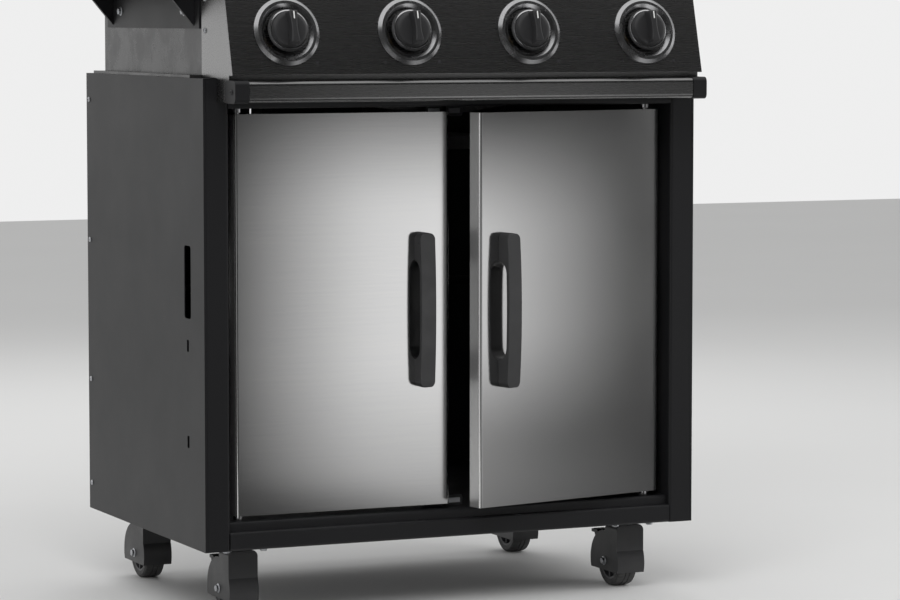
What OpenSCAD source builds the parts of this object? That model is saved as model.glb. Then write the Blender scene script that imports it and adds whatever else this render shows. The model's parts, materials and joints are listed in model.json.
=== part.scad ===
// Four-burner gas grill on a two-door cabinet cart with hooded casters.
// Millimetres. Z is up, the front faces -Y, the origin is on the floor under the middle.

/* [Cabinet] */
// Width over the side panels
cab_w = 762; // [720:2:840]
// Depth from the front of the frame to the back panel
cab_d = 500; // [470:5:560]
// Height of the cabinet's underside above the floor
underside = 104; // [98:1:120]
// Height of the sill under the doors above the underside
sill_h = 39; // [34:1:50]
// Width of each front stile
stile_w = 37; // [32:1:42]
// Depth of each front stile
stile_d = 42; // [30:1:50]
// Height of the header rail over the doors
header_h = 42; // [34:1:50]
// Depth of the header and of the sill rail
rail_d = 55; // [50:1:60]
// Height of the sill rail's front face
rail_face_h = 26; // [20:1:32]
// How far the frame stands in front of the shut doors
frame_proud = 15; // [12:1:20]
// Radius of the frame's outer edges
frame_r = 4; // [2:0.5:6]
// Wall of the frame's rails and stiles
frame_wall = 2; // [1.5:0.1:3]
// Thickness of the panels' sheet
sheet = 1.5; // [1:0.1:2]
// Width of the lip that a side panel wraps round the stile
wrap_w = 3.5; // [2.5:0.5:6]
// Width of the flanges on the side panels
flange_w = 20; // [14:1:20]

/* [Side panel vents] */
// Height of the tall vent
vent_h = 102; // [60:2:140]
// Width of the tall vent
vent_w = 26; // [16:1:40]
// Height of a small slot
slot_h = 17; // [10:1:30]
// Width of a small slot
slot_w = 8; // [5:1:12]
// Distance of the vents' middle line behind the frame's front
vent_back = 66; // [60:1:90]

/* [Doors] */
// Height of the doors
door_h = 560; // [480:5:620]
// Thickness of a door
door_t = 26; // [22:1:30]
// Gap between a door and its stile
door_side_gap = 14.5; // [13:0.5:18]
// Gap between the shut doors
door_mid_gap = 7; // [5:0.5:12]
// Gap under the doors
door_low_gap = 7; // [5:0.5:10]
// Gap over the doors
door_top_gap = 8; // [5:0.5:12]
// Angle at which the right door stands open
door_ajar = 12; // [0:1:60]
// Thickness of the door skin
skin_t = 1.2; // [0.8:0.1:2]
// Radius of the skin's folded edges
skin_r = 4; // [2:0.5:5]
// Radius of the hinge pins
pin_r = 4; // [3:0.5:5]
// Distance of a hinge pin from the door's outer edge
pin_inset = 10; // [9:0.5:12]
// Distance of a hinge pin behind the door's face
pin_back = 20; // [18:0.5:20]
// Length of a hinge pin inside the door
pin_reach = 16; // [10:1:24]
// Running clearance round every pin, on the radius
run = 0.05; // [0.02:0.01:0.1]

/* [Door handles] */
// Height of a handle
handle_h = 220; // [180:2:260]
// Width of a handle
handle_w = 22.5; // [18:0.5:28]
// Depth of a handle in its middle
handle_d = 26; // [24:0.5:40]
// Depth of a handle at its ends
handle_end_d = 21.5; // [20:0.5:24]
// Thickness of the grip
grip_t = 7; // [5:0.5:9]
// Height of each foot of a handle
foot_h = 40; // [30:1:50]
// Height of a handle's lower end above the door's lower edge
handle_up = 170; // [120:5:220]
// Distance of a handle from the door's free edge
handle_in = 32; // [24:1:60]
// Radius of a handle's corners
handle_r = 8; // [6:0.5:10]

/* [Control panel] */
// How far the lip stands in front of the frame
lip_reach = 73; // [60:1:90]
// Height of the lip
lip_h = 29; // [24:1:36]
// Depth of the lip
lip_d = 25; // [20:1:30]
// Radius of the lip's edges
lip_r = 6; // [4:0.5:10]
// Height of the lip's lower edge above the header's lower edge
lip_up = 10; // [8:1:16]
// Width of the cap on each end of the lip
cap_w = 20; // [14:1:26]
// Thickness of the cap's wall
cap_t = 1.2; // [1:0.1:2]
// Length of the cap's side cheek
cap_side = 38; // [32:1:50]
// Height of the groove between the lip and the fascia
groove_h = 9; // [6:1:12]
// How far the fascia's foot stands behind the lip's front
face_inset = 12; // [8:1:16]
// Length of the fascia's leaning face
face_len = 125; // [115:1:140]
// Lean of the fascia
face_lean = 15; // [5:1:20]
// Thickness of the fascia
fascia_t = 2; // [1.5:0.1:2.5]
// Distance between neighbouring knobs
knob_step = 184; // [150:2:190]
// Distance of the knobs from the fascia's foot, along the face
knob_up = 60; // [56:1:64]
// Radius of the knob bezels
bezel_r = 48; // [44:1:52]
// Height of the knob bezels
bezel_h = 5; // [3:0.5:7]
// Radius of a knob's skirt
knob_r = 30; // [26:1:32]
// Height of a knob's front above the fascia
knob_h = 34; // [30:1:40]
// Radius of a knob's front
knob_top_r = 24; // [20:0.5:26]
// Width of a knob's grip
knob_grip = 14; // [10:1:18]
// How far a knob pushes in
knob_push = 4; // [3:0.5:5]
// Radius of a valve stem
stem_r = 4; // [3:0.5:5]
// Radius of the manifold pipe
pipe_r = 9.5; // [8:0.5:12]

/* [Firebox] */
// Distance of the firebox behind the frame's front
fire_front = 58; // [57:1:70]
// Distance of the firebox from the back panel's outside
fire_rear = 20; // [18:1:30]
// Height of the firebox above the cabinet
fire_up = 145; // [135:1:170]
// Wall of the firebox
fire_wall = 4; // [3:0.5:6]
// Drop of the firebox's outlet below the cabinet's top
hopper_drop = 52; // [44:1:60]
// Half the width of the outlet
outlet_half = 40; // [30:1:60]
// Radius of a burner tube
burner_r = 14; // [10:0.5:18]
// Height of the burners above the cabinet
burner_up = 52; // [48:1:60]
// Half the width of a flame tamer
tamer_half = 46; // [36:1:60]
// Rise of a flame tamer's ridge
tamer_rise = 25; // [16:1:25]
// Thickness of a cooking grate
grate_t = 8; // [6:1:12]
// Width of a slot in a cooking grate
grate_slot = 9; // [6:0.5:12]
// Width of a bar in a cooking grate
grate_bar = 7; // [5:0.5:10]
// Height of the warming rack above the firebox's rim
rack_up = 105; // [80:1:120]
// Depth of the warming rack
rack_d = 130; // [100:1:150]

/* [Grease tray] */
// Half the width of the grease tray
tray_half = 110; // [90:1:140]
// Depth of the grease tray's walls
tray_h = 18; // [14:1:24]
// Height of the tray's underside below the cabinet's top
tray_drop = 106; // [96:1:110]
// Half the width of the grease cup
cup_half = 58; // [40:1:70]
// Depth of the grease cup
cup_h = 36; // [24:1:44]

/* [Lid] */
// Height of the lid
lid_h = 325; // [300:5:360]
// Radius of the lid's front curve
lid_front_r = 200; // [180:5:220]
// Radius of the lid's rear curve
lid_rear_r = 90; // [60:5:110]
// Thickness of the lid's shell
lid_t = 2; // [1.2:0.1:3]
// Width of the cast end of the lid
lid_end_w = 18; // [14:1:26]
// Wall of the cast end of the lid
lid_end_t = 6; // [4:0.5:8]
// Radius of the lid's handle bar
bar_r = 13; // [10:0.5:16]
// Half the length of the handle bar
bar_half = 290; // [240:5:320]
// Half the distance between the handle's posts
post_half = 240; // [200:5:270]
// Distance of the bar's middle line in front of the lid
bar_out = 50; // [44:1:60]
// Height of the bar above the lid's lower edge
bar_up = 42; // [34:1:60]
// Radius of the thermometer's case
gauge_r = 44; // [34:1:50]
// Angle of the thermometer up the lid's curve
gauge_tilt = 15; // [12:1:25]

/* [Side shelves] */
// Width of a side shelf
shelf_w = 300; // [220:5:340]
// Depth of a side shelf
shelf_d = 390; // [320:5:400]
// Height of a side shelf's rim
shelf_h = 25; // [25:1:32]
// Height of the shelves' top above the cabinet
shelf_up = 138; // [120:1:140]
// Distance of the fold axis outside the side panel
fold_out = 15; // [14:1:20]

/* [Casters] */
// Radius of a wheel
wheel_r = 38; // [34:1:39]
// Width of a wheel
wheel_w = 30; // [24:1:34]
// Width of a caster's hood
hood_w = 44; // [40:1:50]
// Wall of the hood over the wheel
hood_t = 4; // [3:0.5:6]
// Radius of the hood's shoulders
hood_r = 9; // [6:0.5:12]
// Distance of the axle behind the swivel
trail = 22; // [16:1:28]
// Distance of the casters from the cabinet's sides
caster_side = 75; // [66:1:84]
// Distance of the casters from the front and the back
caster_in = 70; // [68:1:90]

/* [Hidden] */
$fn = 64;
eps = 0.01;

// Clearance between pieces that move past each other
gap = 0.3;

// Heights
z_under = underside;
z_sill = z_under + sill_h;
z_door = z_sill + door_low_gap;
z_door_top = z_door + door_h;
z_header = z_door_top + door_top_gap;
z_cab = z_header + header_h;
z_lip = z_header + lip_up;
z_lip_top = z_lip + lip_h;
z_face = z_lip_top + groove_h;
z_rim = z_cab + fire_up;
z_outlet = z_cab - hopper_drop;
z_hopper = z_cab - 4;
z_lid = z_rim + gap;
z_burner = z_cab + burner_up;
z_grate = z_rim - 18;
z_tamer = z_burner + burner_r + 8;
z_tray = z_cab - tray_drop;
z_shelf = z_cab + shelf_up;

// Places across
x_side = cab_w / 2 - sheet;
x_open = cab_w / 2 - stile_w;
x_door = x_open - door_side_gap;
x_free = door_mid_gap / 2;
x_pin = x_door - pin_inset;
x_fold = cab_w / 2 + fold_out;
x_ledge = x_fold - 9;
x_shelf = x_fold - 7;
fire_half = x_side - flange_w - 1.5;
panel_half = fire_half + 3;
grate_half = fire_half - fire_wall - 24;
knob_xs = [for (i = [-1.5:1:1.5]) i * knob_step];

// How far the knobs reach in front of the frame, which with the back panel centres the whole
knob_reach = lip_reach - face_inset - knob_up * sin(face_lean)
  + knob_h * cos(face_lean) + knob_top_r * sin(face_lean);
y_frame = (knob_reach - cab_d) / 2;
y_back = y_frame + cab_d;
y_shut = y_frame + frame_proud;
y_pin = y_shut + pin_back;
y_rail = y_frame + rail_d;
y_lip = y_frame - lip_reach;
y_fire = y_frame + fire_front;
y_fire_back = y_back - fire_rear;
y_hinge = y_fire_back + 8;
hinge_x = 250;
hinge_up = 4;
y_knob = y_lip + face_inset + knob_up * sin(face_lean);
z_knob = z_face + knob_up * cos(face_lean);
face_top = [y_lip + face_inset + face_len * sin(face_lean), z_face + face_len * cos(face_lean)];
mani_y = -24;
mani_z = -40;
valve_back = 54;
inlet_d = 18;
pipe_at = [y_knob + mani_y * sin(face_lean) - mani_z * cos(face_lean),
  z_knob + mani_y * cos(face_lean) + mani_z * sin(face_lean)];
y_shelf = y_fire + 10;
y_tray = y_fire + 20;
y_tray_back = y_fire_back - 20;
y_rack_back = y_fire_back - fire_wall - 22;
caster_x = cab_w / 2 - caster_side;
caster_ys = [y_frame + caster_in, y_back - caster_in];

// Casters
z_axle = wheel_r;
plate_t = 4;
cup_t = 4;
z_hood = z_under - plate_t - cup_t - gap;
hood_out = wheel_r + 3 + hood_t;
kingpin_r = 5;
axle_r = 4;
brake_r = hood_out + 7;
brake_a = 45;

// Doors
skin_d = door_t - sheet;
handle_sag = handle_d - handle_end_d;
handle_arc = (pow(handle_h / 2, 2) + pow(handle_sag, 2)) / (2 * handle_sag);

// Steel colours
dark = [0.07, 0.07, 0.075];
steel = [0.75, 0.76, 0.77];
black = [0.03, 0.03, 0.03];
enamel = [0.10, 0.10, 0.11];

// ---- Shared shapes ----

// Rounded rectangle from corner a to corner b
module rounded(a, b, r) {
  w = b - a;
  translate((a + b) / 2) {
    square([w.x - 2 * r, w.y], center = true);
    square([w.x, w.y - 2 * r], center = true);
    for (x = [-1, 1], y = [-1, 1])
      translate([x * (w.x / 2 - r), y * (w.y / 2 - r)]) circle(r);
  }
}

// Rectangle from corner a to corner b
module rect(a, b) translate(a) square(b - a);

// Box from corner a to corner b
module block(a, b) translate(a) cube(b - a);

// Extrude a (y, z) outline along X
module along_x(x0, x1) translate([x0, 0, 0]) rotate([90, 0, 90]) linear_extrude(x1 - x0) children();

// Extrude an (x, z) outline along Y
module along_y(y0, y1) translate([0, y1, 0]) rotate([90, 0, 0]) linear_extrude(y1 - y0) children();

// Sheet folded along the middle line pts
module folded(pts, t) {
  for (i = [0:len(pts) - 2]) {
    d = pts[i + 1] - pts[i];
    translate(pts[i]) rotate(atan2(d.y, d.x)) translate([0, -t / 2]) square([norm(d), t]);
  }
  for (i = [1:len(pts) - 2]) translate(pts[i]) circle(t / 2);
}

// Row of slots, each from a to b with round ends, repeated along x
module slot_row(n, step, w, y0, y1) for (i = [0:n - 1]) translate([(i - (n - 1) / 2) * step, 0]) {
  rect([-w / 2, y0 + w / 2], [w / 2, y1 - w / 2]);
  translate([0, y0 + w / 2]) circle(w / 2);
  translate([0, y1 - w / 2]) circle(w / 2);
}

// ---- Cabinet ----

// Floor pan with a skirt, and corner gussets for the casters
module base_pan() color(dark) {
  gusset = 92;
  difference() {
    block([-x_side, y_rail, z_under], [x_side, y_back - sheet, z_sill]);
    block([-x_side + sheet, y_rail + sheet, z_under - 1], [x_side - sheet, y_back - 2 * sheet, z_sill - sheet]);
  }
  for (s = [-1, 1]) {
    block([s > 0 ? x_side - gusset : -x_side, y_rail, z_under],
      [s > 0 ? x_side : -x_side + gusset, y_rail + gusset, z_under + 2]);
    block([s > 0 ? x_side - gusset : -x_side, y_back - sheet - gusset, z_under],
      [s > 0 ? x_side : -x_side + gusset, y_back - sheet, z_under + 2]);
  }
}

// Right-hand side panel: wrapped over the stile, flanged at the top and the back, vented
module side_panel() {
  difference() {
    union() {
      block([x_side, y_frame, z_under], [cab_w / 2, y_back, z_cab]);
      block([cab_w / 2 - wrap_w, y_frame, z_under], [cab_w / 2, y_frame + sheet, z_cab]);
      block([x_side - flange_w, y_frame + sheet + gap, z_cab - sheet], [cab_w / 2, y_back - sheet, z_cab]);
      block([x_side - flange_w, y_back - 2 * sheet, z_sill + 1], [cab_w / 2, y_back - sheet, z_cab]);
    }
    translate([0, y_frame + vent_back, 0]) along_x(x_side - 1, cab_w / 2 + 1) {
      translate([0, z_door + door_h * 0.582]) rounded([-vent_w, -vent_h] / 2, [vent_w, vent_h] / 2, 5);
      for (z = [0.182, 0.423])
        translate([0, z_door + door_h * z]) rounded([-slot_w, -slot_h] / 2, [slot_w, slot_h] / 2, 2);
    }
  }
}

module right_side_panel() color(dark) side_panel();

module left_side_panel() color(dark) mirror([1, 0, 0]) side_panel();

// Back panel with a stiffening bead, louvre slots and the window for the grease tray
module back_panel() color(dark) {
  z_bead = z_door + door_h / 2;
  bead_r = 7;
  bead_half = x_side - flange_w - 8;
  difference() {
    union() {
      block([-x_side, y_back - sheet, z_under], [x_side, y_back, z_cab]);
      along_x(-bead_half, bead_half) translate([y_back, z_bead]) circle(bead_r);
    }
    along_x(sheet - bead_half, bead_half - sheet) translate([y_back, z_bead]) circle(bead_r - sheet);
    block([-x_side - 1, y_back, z_bead - bead_r - 1], [x_side + 1, y_back + bead_r + 1, z_bead + bead_r + 1]);
    along_y(y_back - bead_r, y_back + 1) {
      rounded([-tray_half - 10, z_tray - cup_h - 6], [tray_half + 10, z_outlet + 2], 8);
      slot_row(9, 46, 10, z_door + door_h * 0.62, z_door + door_h * 0.72);
      slot_row(9, 46, 10, z_door + door_h * 0.16, z_door + door_h * 0.26);
    }
  }
}

// Two front posts of rounded tube, rebated for the wrap of the side panels
module front_stiles() color(dark) for (s = [0, 1]) mirror([s, 0, 0])
  translate([0, 0, z_under]) linear_extrude(z_cab - sheet - z_under) difference() {
    union() {
      rounded([x_open, y_frame], [x_side, y_frame + stile_d], frame_r);
      rect([x_side - frame_r - 1, y_frame], [x_side, y_frame + stile_d]);
    }
    rounded([x_open + frame_wall, y_frame + frame_wall], [x_side - frame_wall, y_frame + stile_d - frame_wall],
      frame_r - frame_wall + 0.5);
    rect([cab_w / 2 - wrap_w - gap, y_frame - 1], [x_side + 1, y_frame + sheet + gap]);
  }

// Header rail over the doors
module top_rail() color(dark) difference() {
  along_x(-x_open, x_open) difference() {
    rounded([y_frame, z_header], [y_rail, z_cab], frame_r);
    rounded([y_frame + frame_wall, z_header + frame_wall], [y_rail - frame_wall, z_cab - frame_wall],
      frame_r - frame_wall + 0.5);
  }
  for (s = [-1, 1]) translate([s * x_pin, y_pin, z_header - 1]) cylinder(r = pin_r + run, h = frame_wall + 2);
}

// Stepped rail under the doors: a set-back sill with a lower, prouder face
module bottom_rail() color(dark) difference() {
  y_sill = y_shut - frame_r;
  z_face_top = z_under + rail_face_h;
  w = frame_wall;
  along_x(-x_open, x_open) difference() {
    union() {
      rounded([y_sill, z_under], [y_rail, z_sill], frame_r);
      rounded([y_frame, z_under], [y_rail, z_face_top], frame_r);
      rect([y_rail - frame_r - 1, z_under], [y_rail, z_sill]);
    }
    rounded([y_sill + w, z_under + w], [y_rail - w, z_sill - w], frame_r - w + 0.5);
    rounded([y_frame + w, z_under + w], [y_rail - w, z_face_top - w], frame_r - w + 0.5);
  }
  for (s = [-1, 1]) translate([s * x_pin, y_pin, z_sill - w - 1]) cylinder(r = pin_r + run, h = w + 2);
}

// Magnetic catch blocks at the head and the foot of the opening, behind the doors' free edges
module door_catches() color(black) {
  catch_w = 26;
  catch_h = 15;
  y0 = y_shut + door_t + gap;
  for (z = [z_sill, z_header - catch_h], x = [-catch_w / 2 - 3, catch_w / 2 + 3])
    translate([x, 0, z]) along_y(y0, y_rail - 1) rounded([-catch_w / 2, 0], [catch_w / 2, catch_h], 3);
}

// Collared pins that the doors turn on, two in the sill and two in the header
module door_hinge_pins() color(steel) for (s = [-1, 1]) {
  translate([s * x_pin, y_pin, z_sill]) {
    translate([0, 0, -10]) cylinder(r = pin_r, h = 10 + door_low_gap + pin_reach);
    cylinder(r = pin_r + 3, h = door_low_gap - gap);
  }
  translate([s * x_pin, y_pin, z_header]) {
    translate([0, 0, -door_top_gap - pin_reach]) cylinder(r = pin_r, h = 10 + door_top_gap + pin_reach);
    translate([0, 0, -door_top_gap + 2]) cylinder(r = pin_r + 3, h = door_top_gap - 2);
  }
}

// ---- Doors, drawn shut on the left ----

module left_leaf() children();

// Mirror a leaf to the right and swing it open on its pins
module right_leaf() translate([x_pin, y_pin, 0]) rotate([0, 0, door_ajar]) translate([-x_pin, -y_pin, 0])
  mirror([1, 0, 0]) children();

// Folded steel skin with all four edges turned back
module door_skin() difference() {
  bend = skin_r - skin_t;
  translate([0, 0, z_door]) linear_extrude(door_h) {
    rounded([-x_door, y_shut], [-x_free, y_shut + skin_d], skin_r);
    rect([-x_door, y_shut + skin_r], [-x_free, y_shut + skin_d]);
  }
  translate([0, 0, z_door + skin_t]) linear_extrude(door_h - 2 * skin_t)
    rounded([-x_door + skin_t, y_shut + skin_t], [-x_free - skin_t, y_shut + skin_d + bend + 1], bend);
  for (z = [z_door - 1, z_door_top - skin_t - 1])
    translate([-x_pin, y_pin, z]) cylinder(r = pin_r + run, h = skin_t + 2);
}

// Liner sheet that closes the back, with a hinge block in each outer corner and a handle stiffener
module door_liner() difference() {
  bolt_w = 28;
  inset = 1;
  union() {
    along_y(y_shut + skin_d, y_shut + door_t)
      rounded([-x_door + inset, z_door + inset], [-x_free - inset, z_door_top - inset], 5);
    for (z = [z_door + skin_t, z_door_top - skin_t - pin_reach - 6])
      translate([0, 0, z]) linear_extrude(pin_reach + 6)
        rounded([-x_door + skin_t, y_shut + skin_t], [-x_door + skin_t + bolt_w, y_shut + door_t], skin_r);
    block([-x_free - handle_in - handle_w, y_shut + skin_t, z_door + skin_t],
      [-x_free - handle_in, y_shut + skin_d + eps, z_door_top - skin_t]);
  }
  block([-x_free - handle_in - handle_w + sheet, y_shut + skin_t - 1, z_door + skin_t + 8],
    [-x_free - handle_in - sheet, y_shut + skin_d, z_door_top - skin_t - 8]);
  for (z = [z_door - 1, z_door_top - skin_t - pin_reach - 7])
    translate([-x_pin, y_pin, z]) cylinder(r = pin_r + run, h = pin_reach + skin_t + 8);
}

// Moulded bow handle: a bowed grip on two solid feet
module door_handle() translate([-x_free - handle_in - handle_w / 2, y_shut, z_door + handle_up + handle_h / 2])
  intersection() {
    along_x(-handle_w / 2, handle_w / 2) difference() {
      intersection() {
        rounded([-handle_d, -handle_h / 2], [handle_d, handle_h / 2], handle_r);
        translate([handle_arc - handle_d, 0]) circle(handle_arc, $fn = 360);
        rect([-handle_d - 1, -handle_h / 2], [0, handle_h / 2]);
      }
      intersection() {
        rounded([-handle_d + grip_t, -handle_h / 2 + foot_h], [handle_d, handle_h / 2 - foot_h], 12);
        translate([handle_arc - handle_d + grip_t, 0]) circle(handle_arc, $fn = 360);
      }
    }
    along_y(-handle_d - 1, 1)
      rounded([-handle_w / 2, -handle_h / 2], [handle_w / 2, handle_h / 2], 6);
  }

module left_door_skin() color(steel) left_leaf() door_skin();

module left_door_liner() color(dark) left_leaf() door_liner();

module left_door_handle() color(black) left_leaf() door_handle();

module right_door_skin() color(steel) right_leaf() door_skin();

module right_door_liner() color(dark) right_leaf() door_liner();

module right_door_handle() color(black) right_leaf() door_handle();

// ---- Control panel ----

// Frame on the fascia's outer face at x, with z straight out and y up the face
module at_knob(x) translate([x, y_knob, z_knob]) rotate([90 - face_lean, 0, 0]) children();

// Folded fascia with closed cheeks, and a hole at each knob
module control_fascia() color(steel) difference() {
  h = fascia_t / 2;
  inward = h * [cos(face_lean), -sin(face_lean)];
  back = y_lip + lip_d + h;
  foot = [y_lip + face_inset, z_face] + inward;
  top = face_top + inward;
  union() {
    along_x(-panel_half, panel_half) folded([[y_frame, z_lip + h], [back, z_lip + h], [back, foot.y], foot,
      top, [y_fire, top.y]], fascia_t);
    for (s = [0, 1]) mirror([s, 0, 0]) along_x(panel_half - fascia_t, panel_half)
      polygon([[y_frame, z_lip + h], [back, z_lip + h], [back, foot.y], foot, top, [y_fire, top.y],
        [y_fire, z_cab + 1], [y_frame, z_cab + 1]]);
  }
  for (x = knob_xs) at_knob(x) translate([0, 0, -8]) cylinder(r = stem_r + 4, h = 12);
  translate([panel_half - fascia_t - 1, pipe_at.x, pipe_at.y]) rotate([0, 90, 0])
    cylinder(r = pipe_r + 6, h = fascia_t + 2);
}

// Lip section, grown by g
module lip_section(g) rounded([y_lip - g, z_lip - g], [y_lip + lip_d, z_lip_top + g], lip_r + g);

// Rolled steel lip along the foot of the control panel
module fascia_lip() color(steel) along_x(-panel_half, panel_half) difference() {
  lip_section(0);
  rounded([y_lip + sheet, z_lip + sheet], [y_lip + lip_d - sheet, z_lip_top - sheet], lip_r - sheet);
}

// Dark caps over the ends of the lip, with a cheek along each side
module lip_caps() color(dark) for (s = [0, 1]) mirror([s, 0, 0]) {
  along_x(panel_half - cap_w, panel_half) difference() {
    lip_section(cap_t);
    lip_section(0);
    rect([y_lip + lip_d - lip_r - 2, z_lip - 5], [y_lip + lip_d + 5, z_lip_top + 5]);
  }
  along_x(panel_half, panel_half + cap_t)
    rounded([y_lip - cap_t, z_lip - cap_t], [y_lip + cap_side, z_lip_top + cap_t], lip_r + cap_t);
}

// Dished bezel ring round each knob
module knob_bezels() color(steel) for (x = knob_xs) at_knob(x)
  rotate_extrude() polygon([[knob_r + 3, 0], [bezel_r, 0], [bezel_r, 1.5], [bezel_r - 5, bezel_h],
    [knob_r + 9, bezel_h], [knob_r + 3, 2]]);

// Manifold pipe with its inlet fitting and two straps down to the fascia's floor
module manifold_pipe() color(steel) {
  blind_end = -knob_step * 1.5 - 34;
  inlet_end = panel_half + 12;
  translate([0, pipe_at.x, pipe_at.y]) rotate([0, 90, 0]) difference() {
    union() {
      translate([0, 0, blind_end]) cylinder(r = pipe_r, h = inlet_end - blind_end);
      translate([0, 0, inlet_end - inlet_d]) cylinder(r = pipe_r + 4, h = inlet_d, $fn = 6);
    }
    translate([0, 0, blind_end + 3]) cylinder(r = pipe_r - 3, h = inlet_end - blind_end);
    translate([0, 0, inlet_end - inlet_d]) cylinder(r = pipe_r - 2, h = inlet_d + 1);
  }
  for (s = [-1, 1]) block([s * knob_step - 10, pipe_at.x - 1.5, z_lip + fascia_t],
    [s * knob_step + 10, pipe_at.x + 1.5, pipe_at.y - pipe_r + 1]);
}

// Push-and-turn valve bodies, saddled on the manifold
module gas_valves() color([0.72, 0.6, 0.3]) for (x = knob_xs) at_knob(x) difference() {
  barrel = 34;
  neck = 8;
  jet = 11;
  union() {
    translate([0, 0, -valve_back]) cylinder(r = 11, h = barrel);
    translate([0, 0, barrel - valve_back]) cylinder(r = 7, h = neck);
    translate([0, 0, 1 - jet - valve_back]) cylinder(r = 4.5, h = jet);
    block([-9, mani_y, mani_z - 8], [9, -4, mani_z + 8]);
  }
  translate([0, 0, 10 - valve_back]) cylinder(r = stem_r + run, h = valve_back);
  translate([-20, mani_y, mani_z]) rotate([0, 90, 0]) cylinder(r = pipe_r + run, h = 40);
}

// Stem that a knob turns, held in the valve body
module valve_stem(i) color([0.75, 0.62, 0.3]) at_knob(knob_xs[i]) translate([0, 0, 11 - valve_back])
  cylinder(r = stem_r, h = valve_back - 11 + knob_h - 12);

module valve_stem_1() valve_stem(0);

module valve_stem_2() valve_stem(1);

module valve_stem_3() valve_stem(2);

module valve_stem_4() valve_stem(3);

// Knob with a skirt, a finger grip across the front and a blind bore for the stem
module control_knob(i) color(black) at_knob(knob_xs[i]) difference() {
  low = knob_push + 1.5;
  skirt = 5;
  rotate_extrude() polygon([[0, low], [knob_r - 1, low], [knob_r, low + 1], [knob_r, low + skirt - 1],
    [knob_r - 2, low + skirt], [knob_top_r + 2, low + skirt], [knob_top_r, knob_h - 3],
    [knob_top_r - 2, knob_h], [0, knob_h]]);
  for (s = [0, 1]) rotate([0, 0, 180 * s]) translate([knob_grip / 2 + 40, 0, low + skirt + 6])
    cylinder(r = 40, h = knob_h);
  translate([0, knob_top_r - 4, knob_h - 1]) cylinder(r = 1.6, h = 2);
  translate([0, 0, low - 1]) cylinder(r = stem_r + run, h = knob_h - 12 + knob_push + 1 - low + 1);
}

module control_knob_1() control_knob(0);

module control_knob_2() control_knob(1);

module control_knob_3() control_knob(2);

module control_knob_4() control_knob(3);

// ---- Firebox ----

// Height of the hopper's outside at x
function hopper_z(x) = z_outlet + (x - outlet_half - fire_wall) * (z_hopper - z_outlet)
  / (fire_half - outlet_half - fire_wall);

// Firebox walls and the strips bolted inside them
module firebox() {
  color(enamel) firebox_walls();
  color(steel) firebox_strips();
}

// Front and back walls, with two bent end plates between them that make the hopper and stand on the side panels
module firebox_walls() difference() {
  w = fire_wall;
  off = w + gap / 2;
  union() {
    for (y = [y_fire, y_fire_back - w]) along_y(y, y + w)
      polygon([[-fire_half, z_rim], [-fire_half, z_hopper], [-outlet_half - w, z_outlet],
        [outlet_half + w, z_outlet], [fire_half, z_hopper], [fire_half, z_rim]]);
    for (s = [0, 1]) mirror([s, 0, 0]) along_y(y_fire + off, y_fire_back - off) {
      polygon([[fire_half, z_rim], [fire_half, z_hopper], [outlet_half + w, z_outlet], [outlet_half, z_outlet],
        [outlet_half, z_outlet + w], [fire_half - w, z_hopper + 2], [fire_half - w, z_rim]]);
      rect([fire_half - w, z_cab], [x_side - 2, z_cab + 4]);
    }
    // Lugs for the lid's hinges
    for (s = [-1, 1], e = [-1, 1]) translate([s * hinge_x + e * 11, 0, 0]) along_x(-4, 4) {
      translate([y_hinge, z_lid + hinge_up]) circle(7);
      polygon([[y_fire_back - eps, z_rim - 40], [y_fire_back - eps, z_rim - 4], [y_hinge - 5, z_lid + hinge_up + 5],
        [y_hinge + 7, z_lid + hinge_up], [y_hinge + 5, z_rim - 16]]);
    }
  }
  for (x = knob_xs) translate([x, y_fire - 1, z_burner]) rotate([-90, 0, 0]) cylinder(r = burner_r + run, h = w + 2);
  for (s = [-1, 1]) translate([s * hinge_x - 20, y_hinge, z_lid + hinge_up]) rotate([0, 90, 0])
    cylinder(r = pin_r + run, h = 40);
}

// Ledges for the grates and the flame tamers, and rests for the warming rack's feet
module firebox_strips() {
  w = fire_wall + gap / 2;
  ledge = 16;
  strip_t = 3;
  for (y = [y_fire + w, y_fire_back - w - ledge], z = [z_grate, z_tamer])
    block([w - fire_half, y, z - strip_t], [fire_half - w, y + ledge, z]);
  for (s = [0, 1]) mirror([s, 0, 0])
    block([grate_half + 2, y_rack_back - rack_d, z_grate + 5 - strip_t], [fire_half - w, y_rack_back, z_grate + 5]);
}

// Straight burner tubes, open to the valves at the front
module burner_tubes() color(steel) for (x = knob_xs) translate([x, y_fire - 12, z_burner]) rotate([-90, 0, 0]) {
  len = y_fire_back - fire_wall - y_fire + 12;
  difference() {
    cylinder(r = burner_r, h = len);
    translate([0, 0, -1]) cylinder(r = burner_r - 1.5, h = len - 2);
    translate([0, 0, 60]) for (z = [0:20:len - 100]) translate([0, 0, z]) rotate([0, 90, 0])
      cylinder(r = 1.5, h = 60, center = true);
  }
}

// Roof-shaped flame tamers over the burners
module flame_tamers() color(steel) for (x = knob_xs) translate([x, 0, 0])
  along_y(y_fire + fire_wall + 1, y_fire_back - fire_wall - 1) {
    line = [[-tamer_half, z_tamer], [10 - tamer_half, z_tamer], [0, z_tamer + tamer_rise],
      [tamer_half - 10, z_tamer], [tamer_half, z_tamer]];
    polygon(concat(line, [for (i = [len(line) - 1:-1:0]) line[i] + [0, 2]]));
  }

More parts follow.
